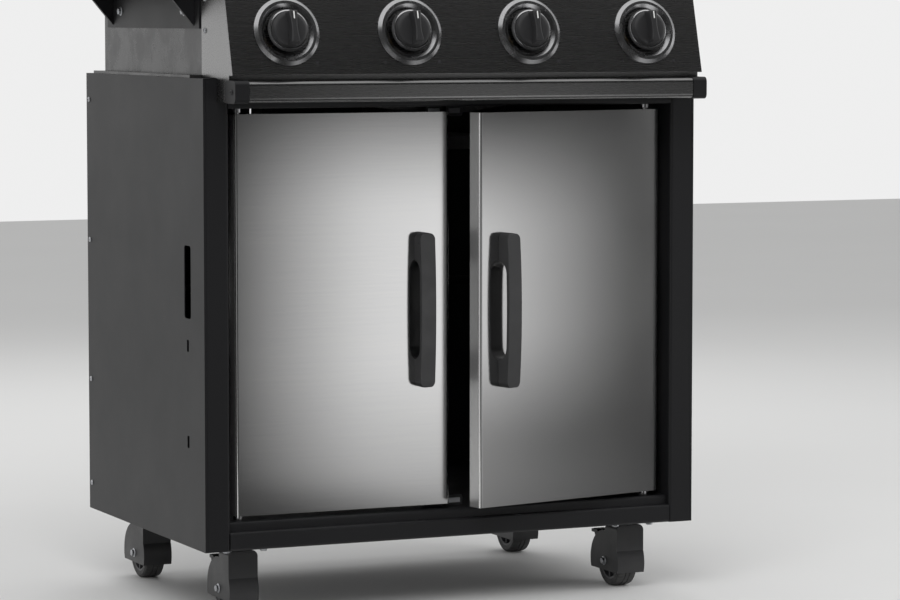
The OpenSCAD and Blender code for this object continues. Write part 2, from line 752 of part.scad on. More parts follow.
// Three cast grates of straight bars
module cooking_grates() color([0.12, 0.12, 0.12]) {
  pieces = 3;
  room = 2 * grate_half / pieces;
  step = grate_bar + grate_slot;
  n = floor((room - 2 * grate_bar) / step);
  y0 = y_fire + fire_wall + 2;
  y1 = y_fire_back - fire_wall - 2;
  rib = 12;
  mid = (y0 + y1) / 2;
  for (i = [0:pieces - 1]) translate([(i - (pieces - 1) / 2) * room, 0, z_grate]) linear_extrude(grate_t)
    difference() {
      rounded([-room / 2 + 1, y0], [room / 2 - 1, y1], 4);
      slot_row(n, step, grate_slot, y0 + rib, mid - rib / 2);
      slot_row(n, step, grate_slot, mid + rib / 2, y1 - rib);
    }
}

// Raised warming rack on two end frames
module warming_rack() color(steel) {
  half = grate_half + 7;
  y0 = y_rack_back - rack_d;
  z = z_rim + rack_up;
  translate([0, 0, z - 5]) linear_extrude(5) difference() {
    rounded([-half, y0], [half, y_rack_back], 5);
    slot_row(floor((2 * half - 20) / 20), 20, 14, y0 + 7, y_rack_back - 7);
  }
  for (s = [0, 1]) mirror([s, 0, 0]) along_x(half - 4, half) difference() {
    rect([y0 + 5, z_grate + 5], [y_rack_back - 5, z - 4]);
    rounded([y0 + 13, z_grate + 5 - 9], [y_rack_back - 13, z - 12], 8);
  }
}

// ---- Grease tray ----

// Angle runners under the firebox
module tray_runners() color(dark) for (s = [0, 1]) mirror([s, 0, 0]) {
  x0 = tray_half + gap + 1;
  along_y(y_tray - 4, y_tray_back) {
    polygon([[x0, z_tray - gap - 2], [x0 + 2, z_tray - gap - 2], [x0 + 2, hopper_z(x0 + 2)], [x0, hopper_z(x0)]]);
    rect([x0 - 12, z_tray - gap - 2], [x0 + 1, z_tray - gap]);
  }
}

// Sliding tray with a well for the cup, and a pull plate behind the back panel's window
module grease_tray() color(steel) {
  t = 1.5;
  mid = (y_tray + y_tray_back) / 2;
  y_plate = y_back - sheet - 1 - t;
  difference() {
    block([-tray_half, y_tray, z_tray], [tray_half, y_tray_back, z_tray + tray_h]);
    block([-tray_half + t, y_tray + t, z_tray + t], [tray_half - t, y_tray_back - t, z_tray + tray_h + 1]);
    block([-cup_half, mid - cup_half, z_tray - 1], [cup_half, mid + cup_half, z_tray + t + 1]);
  }
  for (s = [0, 1]) mirror([s, 0, 0])
    block([tray_half - t, y_tray_back - eps, z_tray], [tray_half, y_plate + eps, z_tray + tray_h]);
  along_y(y_plate, y_plate + t) difference() {
    rounded([-tray_half - 8.5, z_tray - cup_h - 4.5], [tray_half + 8.5, z_outlet + 0.5], 7);
    translate([0, z_tray - cup_h + 8]) rounded([-28, -7], [28, 7], 6);
  }
}

// Catch cup that hangs by its rim in the tray's well
module grease_cup() color([0.8, 0.8, 0.8]) {
  mid = (y_tray + y_tray_back) / 2;
  c = cup_half - 0.5;
  z0 = z_tray + 1.5;
  difference() {
    union() {
      block([-c, mid - c, z0 + 1 - cup_h], [c, mid + c, z0 + 1]);
      block([-c - 5, mid - c - 5, z0], [c + 5, mid + c + 5, z0 + 1]);
    }
    block([-c + 1, mid - c + 1, z0 + 2 - cup_h], [c - 1, mid + c - 1, z0 + 2]);
  }
}

// ---- Lid ----

// Side outline of the lid, drawn in by d
module lid_outline(d) {
  top = z_lid + lid_h;
  yf = y_fire;
  yb = y_fire_back;
  cf = [yf + lid_front_r, top - lid_front_r];
  cr = [yb - lid_rear_r, top - lid_rear_r];
  intersection() {
    union() {
      translate(cf) circle(lid_front_r - d, $fn = 128);
      translate(cr) circle(lid_rear_r - d);
      rect([yf + d, z_lid - 1], [yb - d, cf.y]);
      rect([cf.x, cf.y - 1], [cr.x, top - d]);
      rect([cr.x - 1, cf.y - 1], [yb - d, cr.y]);
    }
    rect([yf, d > 0 ? z_lid - 1 : z_lid], [yb, top]);
  }
}

// Frame on the lid's curve, with z straight out of the thermometer
module at_gauge() translate([0, y_fire + lid_front_r - lid_front_r * cos(gauge_tilt),
  z_lid + lid_h - lid_front_r + lid_front_r * sin(gauge_tilt)]) rotate([90 - gauge_tilt, 0, 0]) children();

// Bent steel shell of the lid, with its hinge knuckles
module lid_shell() color(steel) {
  half = fire_half - lid_end_w;
  difference() {
    along_x(-half, half) difference() {
      lid_outline(0);
      lid_outline(lid_t);
    }
    at_gauge() translate([0, 0, -30]) cylinder(r = gauge_r + 0.1, h = 60);
  }
  for (s = [-1, 1]) translate([s * hinge_x, 0, 0]) difference() {
    along_x(-6.5, 6.5) {
      translate([y_hinge, z_lid + hinge_up]) circle(7);
      rect([y_fire_back - eps, z_lid + hinge_up - 3], [y_hinge + 3, z_lid + 34]);
    }
    translate([-10, y_hinge, z_lid + hinge_up]) rotate([0, 90, 0]) cylinder(r = pin_r + run, h = 20);
  }
}

// Cast ends of the lid
module lid_ends() color(enamel) for (s = [0, 1]) mirror([s, 0, 0]) difference() {
  along_x(fire_half - lid_end_w, fire_half) lid_outline(0);
  along_x(fire_half - lid_end_w - 1, fire_half - lid_end_t) lid_outline(lid_end_t);
}

// Pins through the lid's hinges
module lid_hinge_pins() color(steel) for (s = [-1, 1])
  translate([s * hinge_x, y_hinge, z_lid + hinge_up]) rotate([0, 90, 0]) {
    cylinder(r = pin_r, h = 32, center = true);
    for (e = [-1, 1]) translate([0, 0, e * 17]) cylinder(r = pin_r + 2, h = 3, center = true);
  }

// Round bar of the lid's handle
module lid_handle_bar() color(steel) translate([-bar_half, y_fire - bar_out, z_lid + bar_up]) rotate([0, 90, 0])
  rotate_extrude() polygon([[0, 0], [bar_r - 2, 0], [bar_r, 2], [bar_r, 2 * bar_half - 2], [bar_r - 2, 2 * bar_half],
    [0, 2 * bar_half]]);

// Flanged posts that hold the bar
module lid_handle_posts() color(enamel) for (s = [-1, 1]) translate([s * post_half, y_fire, z_lid + bar_up])
  difference() {
    rotate([90, 0, 0]) {
      cylinder(r = 16, h = 4);
      cylinder(r = 9, h = bar_out);
      translate([0, 0, bar_out]) rotate([0, 90, 0]) cylinder(r = bar_r + 4, h = 22, center = true);
    }
    translate([0, -bar_out, 0]) rotate([0, 90, 0]) cylinder(r = bar_r + run, h = 40, center = true);
  }

// Thermometer: a cup-shaped case let into the lid
module gauge_case() color(steel) at_gauge() difference() {
  rotate_extrude() polygon([[0, -10], [gauge_r, -10], [gauge_r, 10], [gauge_r - 3, 14], [gauge_r - 7, 14],
    [gauge_r - 7, 11.3], [gauge_r - 5, 11.3], [gauge_r - 5, -2], [0, -2]]);
  translate([0, 0, -8]) cylinder(r = 1.5 + run, h = 20);
}

module gauge_dial() color([0.9, 0.9, 0.88]) at_gauge() difference() {
  translate([0, 0, -2]) cylinder(r = gauge_r - 5.1, h = 1);
  translate([0, 0, -3]) cylinder(r = 1.8, h = 4);
}

module gauge_glass() color([0.8, 0.9, 0.95, 0.3]) at_gauge() translate([0, 0, 9]) cylinder(r = gauge_r - 5.1, h = 2.2);

// Pointer on its spindle, at rest at the low end of the scale
module gauge_needle() color([0.7, 0.1, 0.05]) at_gauge() {
  translate([0, 0, -7.5]) cylinder(r = 1.5, h = 11);
  translate([0, 0, 1]) cylinder(r = 4, h = 2);
  rotate([0, 0, 225]) translate([0, 0, 1.2]) linear_extrude(1)
    polygon([[-8, -2.5], [-8, 2.5], [gauge_r - 14, 0.6], [gauge_r - 14, -0.6]]);
}

// ---- Side shelves ----

// Fixed ledge beside the firebox, with two arms that carry the folding shelf
module shelf_brackets() color(dark) for (s = [0, 1]) mirror([s, 0, 0]) {
  drop = 70;
  arm_t = 6;
  arm_in = 20;
  block([fire_half, y_shelf, z_shelf - 2], [x_ledge, y_shelf + shelf_d, z_shelf]);
  block([fire_half, y_shelf, z_shelf - drop], [fire_half + 3, y_shelf + shelf_d, z_shelf]);
  for (y = [y_shelf + arm_in, y_shelf + shelf_d - arm_in - arm_t]) difference() {
    along_y(y, y + arm_t) {
      translate([x_fold, z_shelf - 13]) circle(9);
      polygon([[fire_half, z_shelf - drop], [fire_half, z_shelf - 1], [x_ledge, z_shelf - 1], [x_ledge + 3, z_shelf - 4],
        [x_fold, z_shelf - 4], [x_fold + 3, z_shelf - 21.5]]);
    }
    translate([x_fold, y - 1, z_shelf - 13]) rotate([-90, 0, 0]) cylinder(r = 5 + run, h = arm_t + 2);
  }
}

// Folded shelf, open underneath, with its two pivot pins
module shelf() {
  t = 2;
  x1 = x_shelf + shelf_w;
  difference() {
    along_y(y_shelf, y_shelf + shelf_d) difference() {
      rounded([x_shelf - 20, z_shelf - 2 * shelf_h], [x1, z_shelf], 6);
      rect([x_shelf - 21, z_shelf - 2 * shelf_h - 1], [x_shelf, z_shelf + 1]);
      rect([x_shelf - 21, z_shelf - 2 * shelf_h - 1], [x1 + 1, z_shelf - shelf_h]);
    }
    along_y(y_shelf + t, y_shelf + shelf_d - t) difference() {
      rounded([x_shelf - 30, z_shelf - 2 * shelf_h], [x1 - t, z_shelf - t], 4);
    }
  }
  for (y = [y_shelf + t - eps, y_shelf + shelf_d - 30]) translate([x_fold, y, z_shelf - 13])
    rotate([-90, 0, 0]) cylinder(r = 5, h = 28);
}

module right_shelf() color(steel) shelf();

module left_shelf() color(steel) mirror([1, 0, 0]) shelf();

// ---- Casters ----

// Frame on the floor under a caster's swivel
module at_caster(sx, iy) translate([sx * caster_x, caster_ys[iy], 0]) children();

// Top plates with a ball-race cup, bored for the kingpin
module caster_plates() color(steel) for (sx = [-1, 1], iy = [0, 1]) at_caster(sx, iy) difference() {
  union() {
    translate([0, 0, z_under - plate_t]) linear_extrude(plate_t) rounded([-36, -34], [36, 34], 6);
    translate([0, 0, z_under - plate_t - cup_t]) cylinder(r = 19, h = cup_t + 1);
  }
  translate([0, 0, z_under - 20]) cylinder(r = kingpin_r + run, h = 30);
}

// Hood over the wheel, with kingpin and axle
module caster_fork(brake) {
  difference() {
    intersection() {
      along_x(-hood_w / 2, hood_w / 2) difference() {
        union() {
          translate([trail, z_axle]) circle(hood_out);
          rounded([-19, z_axle + 8], [19, z_hood], 4);
          rect([-19, z_axle + 20], [trail, z_axle + hood_out - 6]);
        }
        rect([-100, -100], [200, z_axle - 14]);
      }
      along_y(-60, 120) rounded([-hood_w / 2, -50], [hood_w / 2, z_hood], hood_r);
    }
    along_x(-wheel_w / 2 - 2, wheel_w / 2 + 2) {
      translate([trail, z_axle]) circle(hood_out - hood_t);
      rect([trail - hood_out + hood_t, -1], [trail + hood_out - hood_t, z_axle]);
    }
  }
  translate([0, 0, z_hood - 6]) cylinder(r = kingpin_r, h = z_under - z_hood + 5);
  translate([0, trail, z_axle]) rotate([0, 90, 0]) cylinder(r = axle_r, h = hood_w - 2, center = true);
  if (brake) for (s = [0, 1]) mirror([s, 0, 0]) difference() {
    along_x(13, 17) translate([trail, z_axle]) rotate(brake_a) {
      translate([brake_r, 0]) circle(5);
      rect([hood_out - 3, -5], [brake_r, 5]);
    }
    translate([12, trail + brake_r * cos(brake_a), z_axle + brake_r * sin(brake_a)]) rotate([0, 90, 0])
      cylinder(r = 2.5 + run, h = 6);
  }
}

// Wheel with a crowned tread, dished sides and a bored hub
module caster_wheel() translate([0, trail, z_axle]) rotate([0, 90, 0]) rotate_extrude()
  difference() {
    union() {
      rounded([axle_r + run, -wheel_w / 2], [wheel_r, wheel_w / 2], 4);
      rect([axle_r + run, -wheel_w / 2], [axle_r + 8, wheel_w / 2]);
    }
    for (s = [-1, 1]) translate([(wheel_r + axle_r) / 2, s * wheel_w / 2]) circle(6.5);
  }

// Foot lever of the wheel brake
module brake_lever() translate([0, trail + brake_r * cos(brake_a), z_axle + brake_r * sin(brake_a)]) {
  rotate([0, 90, 0]) cylinder(r = 4.5, h = 25, center = true);
  rotate([0, 90, 0]) cylinder(r = 2.5, h = 33, center = true);
  translate([0, 0, -2]) linear_extrude(4) rounded([-12, 0], [12, 28], 4);
}

module caster_fork_fl() color(dark) at_caster(-1, 0) caster_fork(true);

module caster_fork_fr() color(dark) at_caster(1, 0) caster_fork(true);

module caster_fork_rl() color(dark) at_caster(-1, 1) caster_fork(false);

module caster_fork_rr() color(dark) at_caster(1, 1) caster_fork(false);

module caster_wheel_fl() color(black) at_caster(-1, 0) caster_wheel();

module caster_wheel_fr() color(black) at_caster(1, 0) caster_wheel();

module caster_wheel_rl() color(black) at_caster(-1, 1) caster_wheel();

module caster_wheel_rr() color(black) at_caster(1, 1) caster_wheel();

module brake_lever_fl() color([0.3, 0.05, 0.05]) at_caster(-1, 0) brake_lever();

module brake_lever_fr() color([0.3, 0.05, 0.05]) at_caster(1, 0) brake_lever();

// ---- Nodes ----

base_pan();
left_side_panel();
right_side_panel();
back_panel();
front_stiles();
top_rail();
bottom_rail();
door_catches();
door_hinge_pins();
caster_plates();
control_fascia();
fascia_lip();
lip_caps();
knob_bezels();
manifold_pipe();
gas_valves();
firebox();
burner_tubes();
flame_tamers();
cooking_grates();
warming_rack();
lid_hinge_pins();
tray_runners();
shelf_brackets();
left_door_skin();
left_door_liner();
left_door_handle();
right_door_skin();
right_door_liner();
right_door_handle();
control_knob_1();
control_knob_2();
control_knob_3();
control_knob_4();
valve_stem_1();
valve_stem_2();
valve_stem_3();
valve_stem_4();
lid_shell();
lid_ends();
lid_handle_bar();
lid_handle_posts();
gauge_case();
gauge_dial();
gauge_glass();
gauge_needle();
left_shelf();
right_shelf();
grease_tray();
grease_cup();
caster_fork_fl();
caster_fork_fr();
caster_fork_rl();
caster_fork_rr();
caster_wheel_fl();
caster_wheel_fr();
caster_wheel_rl();
caster_wheel_rr();
brake_lever_fl();
brake_lever_fr();
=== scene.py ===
"""Dresses a cabinet gas grill: its finishes, its fittings, a plain studio and the camera."""

import json
import logging
import math
from collections.abc import Callable, Iterable, Sequence
from dataclasses import dataclass
from enum import Enum
from functools import cached_property

import bmesh
import bpy
from bpy.types import Material, Object
from mathutils import Matrix, Vector

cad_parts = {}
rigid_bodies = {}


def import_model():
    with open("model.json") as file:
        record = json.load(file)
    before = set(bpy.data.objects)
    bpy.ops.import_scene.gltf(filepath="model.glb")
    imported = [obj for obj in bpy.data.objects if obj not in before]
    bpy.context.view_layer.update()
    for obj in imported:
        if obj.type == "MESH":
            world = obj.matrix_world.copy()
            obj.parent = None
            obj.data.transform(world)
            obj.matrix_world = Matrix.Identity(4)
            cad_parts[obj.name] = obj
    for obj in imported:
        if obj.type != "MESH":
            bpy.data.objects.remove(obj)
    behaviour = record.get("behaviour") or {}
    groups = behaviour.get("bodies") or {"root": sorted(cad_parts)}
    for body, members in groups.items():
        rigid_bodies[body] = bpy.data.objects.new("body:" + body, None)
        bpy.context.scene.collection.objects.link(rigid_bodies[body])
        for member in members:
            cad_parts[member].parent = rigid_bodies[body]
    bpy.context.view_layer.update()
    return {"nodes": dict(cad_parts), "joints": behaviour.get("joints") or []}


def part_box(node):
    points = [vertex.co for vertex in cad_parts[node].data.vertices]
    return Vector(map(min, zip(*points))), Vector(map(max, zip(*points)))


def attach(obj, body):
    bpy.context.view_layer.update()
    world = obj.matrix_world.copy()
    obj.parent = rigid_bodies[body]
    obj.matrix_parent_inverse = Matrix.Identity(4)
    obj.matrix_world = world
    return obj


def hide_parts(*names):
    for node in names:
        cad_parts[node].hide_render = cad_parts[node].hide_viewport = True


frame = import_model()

logging.basicConfig(level=logging.INFO, format="%(message)s")
LOG = logging.getLogger("grill")

MM = 0.001
SMOOTH = math.radians(35.0)
WELD = 1e-6
NODES: dict[str, Object] = frame["nodes"]
JOINTS: dict[str, dict] = {joint["name"]: joint for joint in frame["joints"]}
CORNERS = ("fl", "fr", "rl", "rr")
KNOBS = range(1, 5)

Point = tuple[float, float, float]
Profile = Sequence[tuple[float, float]]


# ---- Shader maths ----


class Tap:
    """An output socket that takes part in Python arithmetic."""

    def __init__(self, desk: "NodeDesk", socket: bpy.types.NodeSocket) -> None:
        """Wrap one output socket of a desk's tree."""
        self.desk = desk
        self.socket = socket

    def _maths(self, operation: str, left: "Tap | float", right: "Tap | float") -> "Tap":
        """Add a Math node."""
        return self.desk.add("ShaderNodeMath", {"operation": operation}, {0: left, 1: right})

    def __add__(self, other: "Tap | float") -> "Tap":
        """Add."""
        return self._maths("ADD", self, other)

    def __sub__(self, other: "Tap | float") -> "Tap":
        """Subtract."""
        return self._maths("SUBTRACT", self, other)

    def __rsub__(self, other: float) -> "Tap":
        """Subtract from a number."""
        return self._maths("SUBTRACT", other, self)

    def __mul__(self, other: "Tap | float") -> "Tap":
        """Multiply."""
        return self._maths("MULTIPLY", self, other)

    __radd__, __rmul__ = __add__, __mul__

    def clamp(self) -> "Tap":
        """Hold the value between 0 and 1."""
        return self._maths("MINIMUM", self._maths("MAXIMUM", self, 0.0), 1.0)


class NodeDesk:
    """Builds a node tree."""

    def open(self, tree: bpy.types.NodeTree) -> None:
        """Start on an emptied tree."""
        self.tree = tree
        tree.nodes.clear()

    def put(self, socket: bpy.types.NodeSocket, value: "Tap | float | Sequence[float]") -> None:
        """Link a tap to a socket, or set the socket's own value.

        Args:
            socket: The input socket.
            value: A tap, a number or a colour.
        """
        if isinstance(value, Tap):
            self.tree.links.new(value.socket, socket)
        else:
            socket.default_value = value

    def add(self, kind: str, settings: dict, inputs: dict, output: int | str = 0) -> Tap:
        """Add a node.

        Args:
            kind: The node's type.
            settings: Its properties.
            inputs: Its sockets' values or links, by name or number.
            output: The output to return.

        Returns:
            The tap on that output.
        """
        node = self.tree.nodes.new(kind)
        for key, value in settings.items():
            setattr(node, key, value)
        for key, value in inputs.items():
            self.put(node.inputs[key], value)
        return Tap(self, node.outputs[output])

    def end(self, kind: str, shader: Tap) -> None:
        """Add the tree's output node."""
        self.tree.links.new(shader.socket, self.tree.nodes.new(kind).inputs[0])


@dataclass(eq=False)
class Paint(NodeDesk):
    """Smooth print or paint with a faint mottle. The other finishes build on it."""

    name: str
    colour: Point = (0.5, 0.5, 0.5)
    rough: float = 0.5

    @cached_property
    def material(self) -> Material:
        """The material, which is built when it is first used.

        Returns:
            The material.
        """
        material = bpy.data.materials.new(self.name)
        material.use_nodes = True
        self.open(material.node_tree)
        self.shader = self.tree.nodes.new("ShaderNodeBsdfPrincipled")
        self.end("ShaderNodeOutputMaterial", Tap(self, self.shader.outputs[0]))
        self.place = self.add("ShaderNodeTexCoord", {}, {}, "Object")
        self.mix()
        return material

    def mix(self) -> None:
        """Mix the finish."""
        mottle = self.noise(320.0, 4.0, 0.6)
        self.bump(mottle, 0.00003, 0.4)
        colour = self.blend(mottle, self.colour, tint(self.colour, 0.86))
        self.set(colour, self.rough + 0.1 * (mottle - 0.5))

    def stretched(self, scale: Point) -> Tap:
        """Object coordinates with so many cells per metre along each axis."""
        return self.add("ShaderNodeMapping", {}, {"Vector": self.place, "Scale": scale})

    def noise(self, scale: float, detail: float = 3.0, rough: float = 0.5, vector: Tap | None = None) -> Tap:
        """Noise over the object or over a vector, about 0.5."""
        sockets = {"Vector": vector or self.place, "Scale": scale, "Detail": detail, "Roughness": rough}
        return self.add("ShaderNodeTexNoise", {}, sockets)

    def cells(self, feature: str, scale: float) -> Tap:
        """Distances in a Voronoi pattern."""
        inputs = {"Vector": self.place, "Scale": scale}
        return self.add("ShaderNodeTexVoronoi", {"feature": feature}, inputs, "Distance")

    def ramp(self, value: Tap, low: float, high: float) -> Tap:
        """Ramp a value.

        Args:
            value: The value.
            low: Where the ramp leaves 0.
            high: Where it reaches 1.

        Returns:
            The ramped value.
        """
        node = self.tree.nodes.new("ShaderNodeValToRGB")
        for element, position in zip(node.color_ramp.elements, (low, high)):
            element.position = position
        self.put(node.inputs["Fac"], value)
        return Tap(self, node.outputs[0])

    def patches(self, scale: float, detail: float, rough: float, low: float, high: float) -> Tap:
        """Noise over the object, ramped from low to high."""
        return self.ramp(self.noise(scale, detail, rough), low, high)

    def part(self, vector: Tap, axis: str) -> Tap:
        """One part of a vector."""
        return self.add("ShaderNodeSeparateXYZ", {}, {"Vector": vector}, axis)

    def normal(self, axis: str) -> Tap:
        """One part of the surface's normal."""
        return self.part(self.add("ShaderNodeNewGeometry", {}, {}, "Normal"), axis)

    def blend(self, share: Tap | float, low: Tap | Point, high: Tap | Point) -> Tap:
        """Mix two colours, with so much of the second one."""
        colours = [one if isinstance(one, Tap) else (*one, 1.0) for one in (low, high)]
        return self.add("ShaderNodeMix", {"data_type": "RGBA"}, {0: share, 6: colours[0], 7: colours[1]}, 2)

    def bump(self, height: Tap, depth: float, strength: float) -> None:
        """Feed a height of so many metres through a Bump node to the shader's normal."""
        normal = self.add("ShaderNodeBump", {}, {"Strength": strength, "Distance": depth, "Height": height})
        self.put(self.shader.inputs["Normal"], normal)

    def set(self, colour: Tap | Sequence[float], rough: Tap | float, **more: "Tap | float") -> None:
        """Set the shader's sockets, with _ for each space in a name."""
        for key, value in {"Base_Color": colour, "Roughness": rough, **more}.items():
            self.put(self.shader.inputs[key.replace("_", " ")], value)


def tint(colour: Point, share: float, more: float = 0.0) -> Point:
    """Return a colour with its parts scaled and raised."""
    return tuple(part * share + more for part in colour)


# ---- Finishes ----


class Grain(Enum):
    """The way that a steel's brushing runs, as cells per metre along X, Y and Z."""

    ACROSS = (14.0, 1300.0, 1300.0)
    ENDWISE = (1300.0, 14.0, 1300.0)


@dataclass(eq=False)
class BrushedSteel(Paint):
    """Stainless sheet with hairline brushing, faint handling marks and soft blotches."""

    grain: Grain = Grain.ACROSS
    tone: float = 0.62
    rough: float = 0.24
    depth: float = 0.000005
    smudge: float = 0.012
    dull_sides: float = 0.0

    def mix(self) -> None:
        """Mix the finish."""
        fine = self.noise(1.0, 4.0, 0.62, self.stretched(self.grain.value))
        wide = self.noise(1.0, 2.0, 0.5, self.stretched(tint(self.grain.value, 0.35)))
        hair = self.ramp(fine * 0.75 + wide * 0.25, 0.25, 0.75)
        cloud = self.patches(7.0, 4.0, 0.6, 0.35, 0.7)
        deep, light = (tint(shade, self.tone) for shade in ((0.94, 0.94, 0.95), (1.04, 1.035, 1.02)))
        colour = self.blend(hair * 0.85 + cloud * 0.15, deep, light)
        self.bump(hair, self.depth, 0.5)
        across = self.normal("X")
        side = ((across * across - 0.5) * 2.5).clamp()
        rough = self.rough + 0.03 * (hair - 0.5) + self.smudge * cloud
        if self.dull_sides:
            self.set(colour, rough + 0.16 * side, Metallic=1.0 - self.dull_sides * side)
        else:
            self.set(colour, rough, Metallic=1.0)


@dataclass(eq=False)
class PowderCoat(Paint):
    """Baked paint with a fine orange peel and dust that settles on faces that look up."""

    peel: float = 0.00012
    cell: float = 420.0
    gloss: float = 0.34

    def mix(self) -> None:
        """Mix the finish."""
        peel = self.noise(self.cell, 2.0)
        fleck = self.patches(self.cell * 4.0, 1.0, 0.5, 0.62, 0.8)
        cloud = self.noise(9.0, 4.0, 0.6)
        dust = (self.normal("Z").clamp() * self.ramp(cloud, 0.4, 0.75)).clamp()
        self.bump(peel + 0.2 * fleck, self.peel, 0.35)
        colour = self.blend(fleck * 0.35 + dust * 0.25, self.colour, tint(self.colour, 1.5, 0.02))
        self.set(colour, self.rough + 0.12 * (cloud - 0.5) + 0.08 * dust, Specular_IOR_Level=self.gloss)


@dataclass(eq=False)
class MouldedPlastic(Paint):
    """Moulded plastic with a spark-eroded grain and rubbed, glossier patches."""

    cell: float = 1500.0
    depth: float = 0.00006

    def mix(self) -> None:
        """Mix the finish."""
        pits = self.cells("SMOOTH_F1", self.cell)
        rubbed = self.patches(28.0, 3.0, 0.55, 0.42, 0.72)
        self.bump(pits + 0.5 * self.noise(self.cell * 0.4, 2.0), self.depth, 0.45)
        colour = self.blend(rubbed * 0.5 + 0.3 * pits, self.colour, tint(self.colour, 1.25, 0.004))
        self.set(colour, self.rough - 0.08 * rubbed + 0.08 * pits)


@dataclass(eq=False)
class CastIron(Paint):
    """Sand-cast iron or enamel: pitted, lightly oiled and browner in its hollows."""

    warm: Point = (0.045, 0.036, 0.028)
    pit: float = 0.0005
    cell: float = 260.0

    def mix(self) -> None:
        """Mix the finish."""
        sand = self.noise(self.cell, 5.0, 0.62)
        pits = self.patches(self.cell * 0.3, 4.0, 0.7, 0.3, 0.55)
        oil = self.patches(14.0, 4.0, 0.6, 0.4, 0.68)
        self.bump(sand * 0.5 + pits * 0.5, self.pit, 0.4)
        colour = self.blend((1.0 - pits) * 0.6 + 0.3 * oil, self.colour, self.warm)
        self.set(colour, self.rough + 0.15 * (sand - 0.5) - 0.18 * oil)


@dataclass(eq=False)
class PlatedMetal(Paint):
    """Bright plated or machined metal with turning marks and fine scuffs."""

    turned: float = 0.05
    cell: float = 1100.0

    def mix(self) -> None:
        """Mix the finish."""
        marks = self.noise(1.0, 3.0, 0.6, self.stretched((self.cell, self.cell * 0.05, self.cell)))
        scuff = self.patches(60.0, 5.0, 0.7, 0.5, 0.75)
        self.bump(marks, 0.00001, 0.4)
        colour = self.blend(0.5 * marks + 0.4 * scuff, self.colour, tint(self.colour, 0.8))
        self.set(colour, self.rough + self.turned * marks + 0.12 * scuff, Metallic=1.0)


class HeatedSteel(Paint):
    """Plain steel near the flames, blued and browned in bands."""

    def mix(self) -> None:
        """Mix the finish."""
        heat = self.patches(11.0, 4.0, 0.6, 0.35, 0.7)
        blue = self.ramp(self.noise(1.0, 3.0, 0.5, self.stretched((6.0, 9.0, 6.0))), 0.5, 0.72)
        brown = self.blend(heat * 0.8, self.colour, (0.26, 0.19, 0.13))
        soot = self.noise(180.0, 5.0, 0.65)
        self.bump(soot, 0.00008, 0.4)
        colour = self.blend(blue * 0.5, brown, (0.17, 0.19, 0.27))
        self.set(colour, self.rough + 0.2 * soot - 0.05 * heat, Metallic=1.0)


class CrinkledFoil(Paint):
    """Pressed foil with soft creases."""

    def mix(self) -> None:
        """Mix the finish."""
        fold = self.ramp(self.cells("DISTANCE_TO_EDGE", 95.0), 0.0, 0.3)
        grease = self.patches(24.0, 4.0, 0.5, 0.5, 0.7)
        self.bump(fold + 0.3 * self.noise(300.0), 0.0006, 0.5)
        colour = self.blend(grease * 0.5, self.colour, (0.5, 0.42, 0.3))
        self.set(colour, self.rough + 0.14 * grease, Metallic=1.0)


class Rubber(Paint):
    """Hard tread, scuffed paler where it meets the floor."""

    def mix(self) -> None:
        """Mix the finish."""
        scuff = self.ramp(self.noise(1.0, 5.0, 0.65, self.stretched((60.0, 260.0, 260.0))), 0.45, 0.7)
        self.bump(self.noise(900.0) + scuff, 0.00012, 0.4)
        colour = self.blend(scuff * 0.7, self.colour, (0.09, 0.088, 0.085))
        self.set(colour, self.rough + 0.15 * scuff)


class ClearGlass(Paint):
    """Flat glass with a trace of dust at its rim."""

    def mix(self) -> None:
        """Mix the finish."""
        dust = self.patches(240.0, 4.0, 0.7, 0.45, 0.8)
        colour = self.blend(dust, self.colour, (0.93, 0.94, 0.94))
        self.set(colour, self.rough + 0.08 * dust, Transmission_Weight=1.0, IOR=1.45)


class FloorPaint(Paint):
    """Pale matt floor."""

    def mix(self) -> None:
        """Mix the finish."""
        cloud = self.noise(1.4)
        colour = self.blend(cloud, self.colour, tint(self.colour, 0.97))
        self.set(colour, self.rough + 0.1 * cloud)


@dataclass(eq=False)
class Glow(Paint):
    """Light from a sheet, which varies over it."""

    share: Callable[[Tap, Tap], Tap] | None = None
    other: str = "Z"

    def mix(self) -> None:
        """Mix the finish."""
        share = self.share(self.part(self.place, "X"), self.part(self.place, self.other))
        lit = self.blend(share, (0.0, 0.0, 0.0), (1.0, 1.0, 1.0))
        self.set((*self.colour, 1.0), self.rough, Emission_Color=lit, Emission_Strength=1.0)


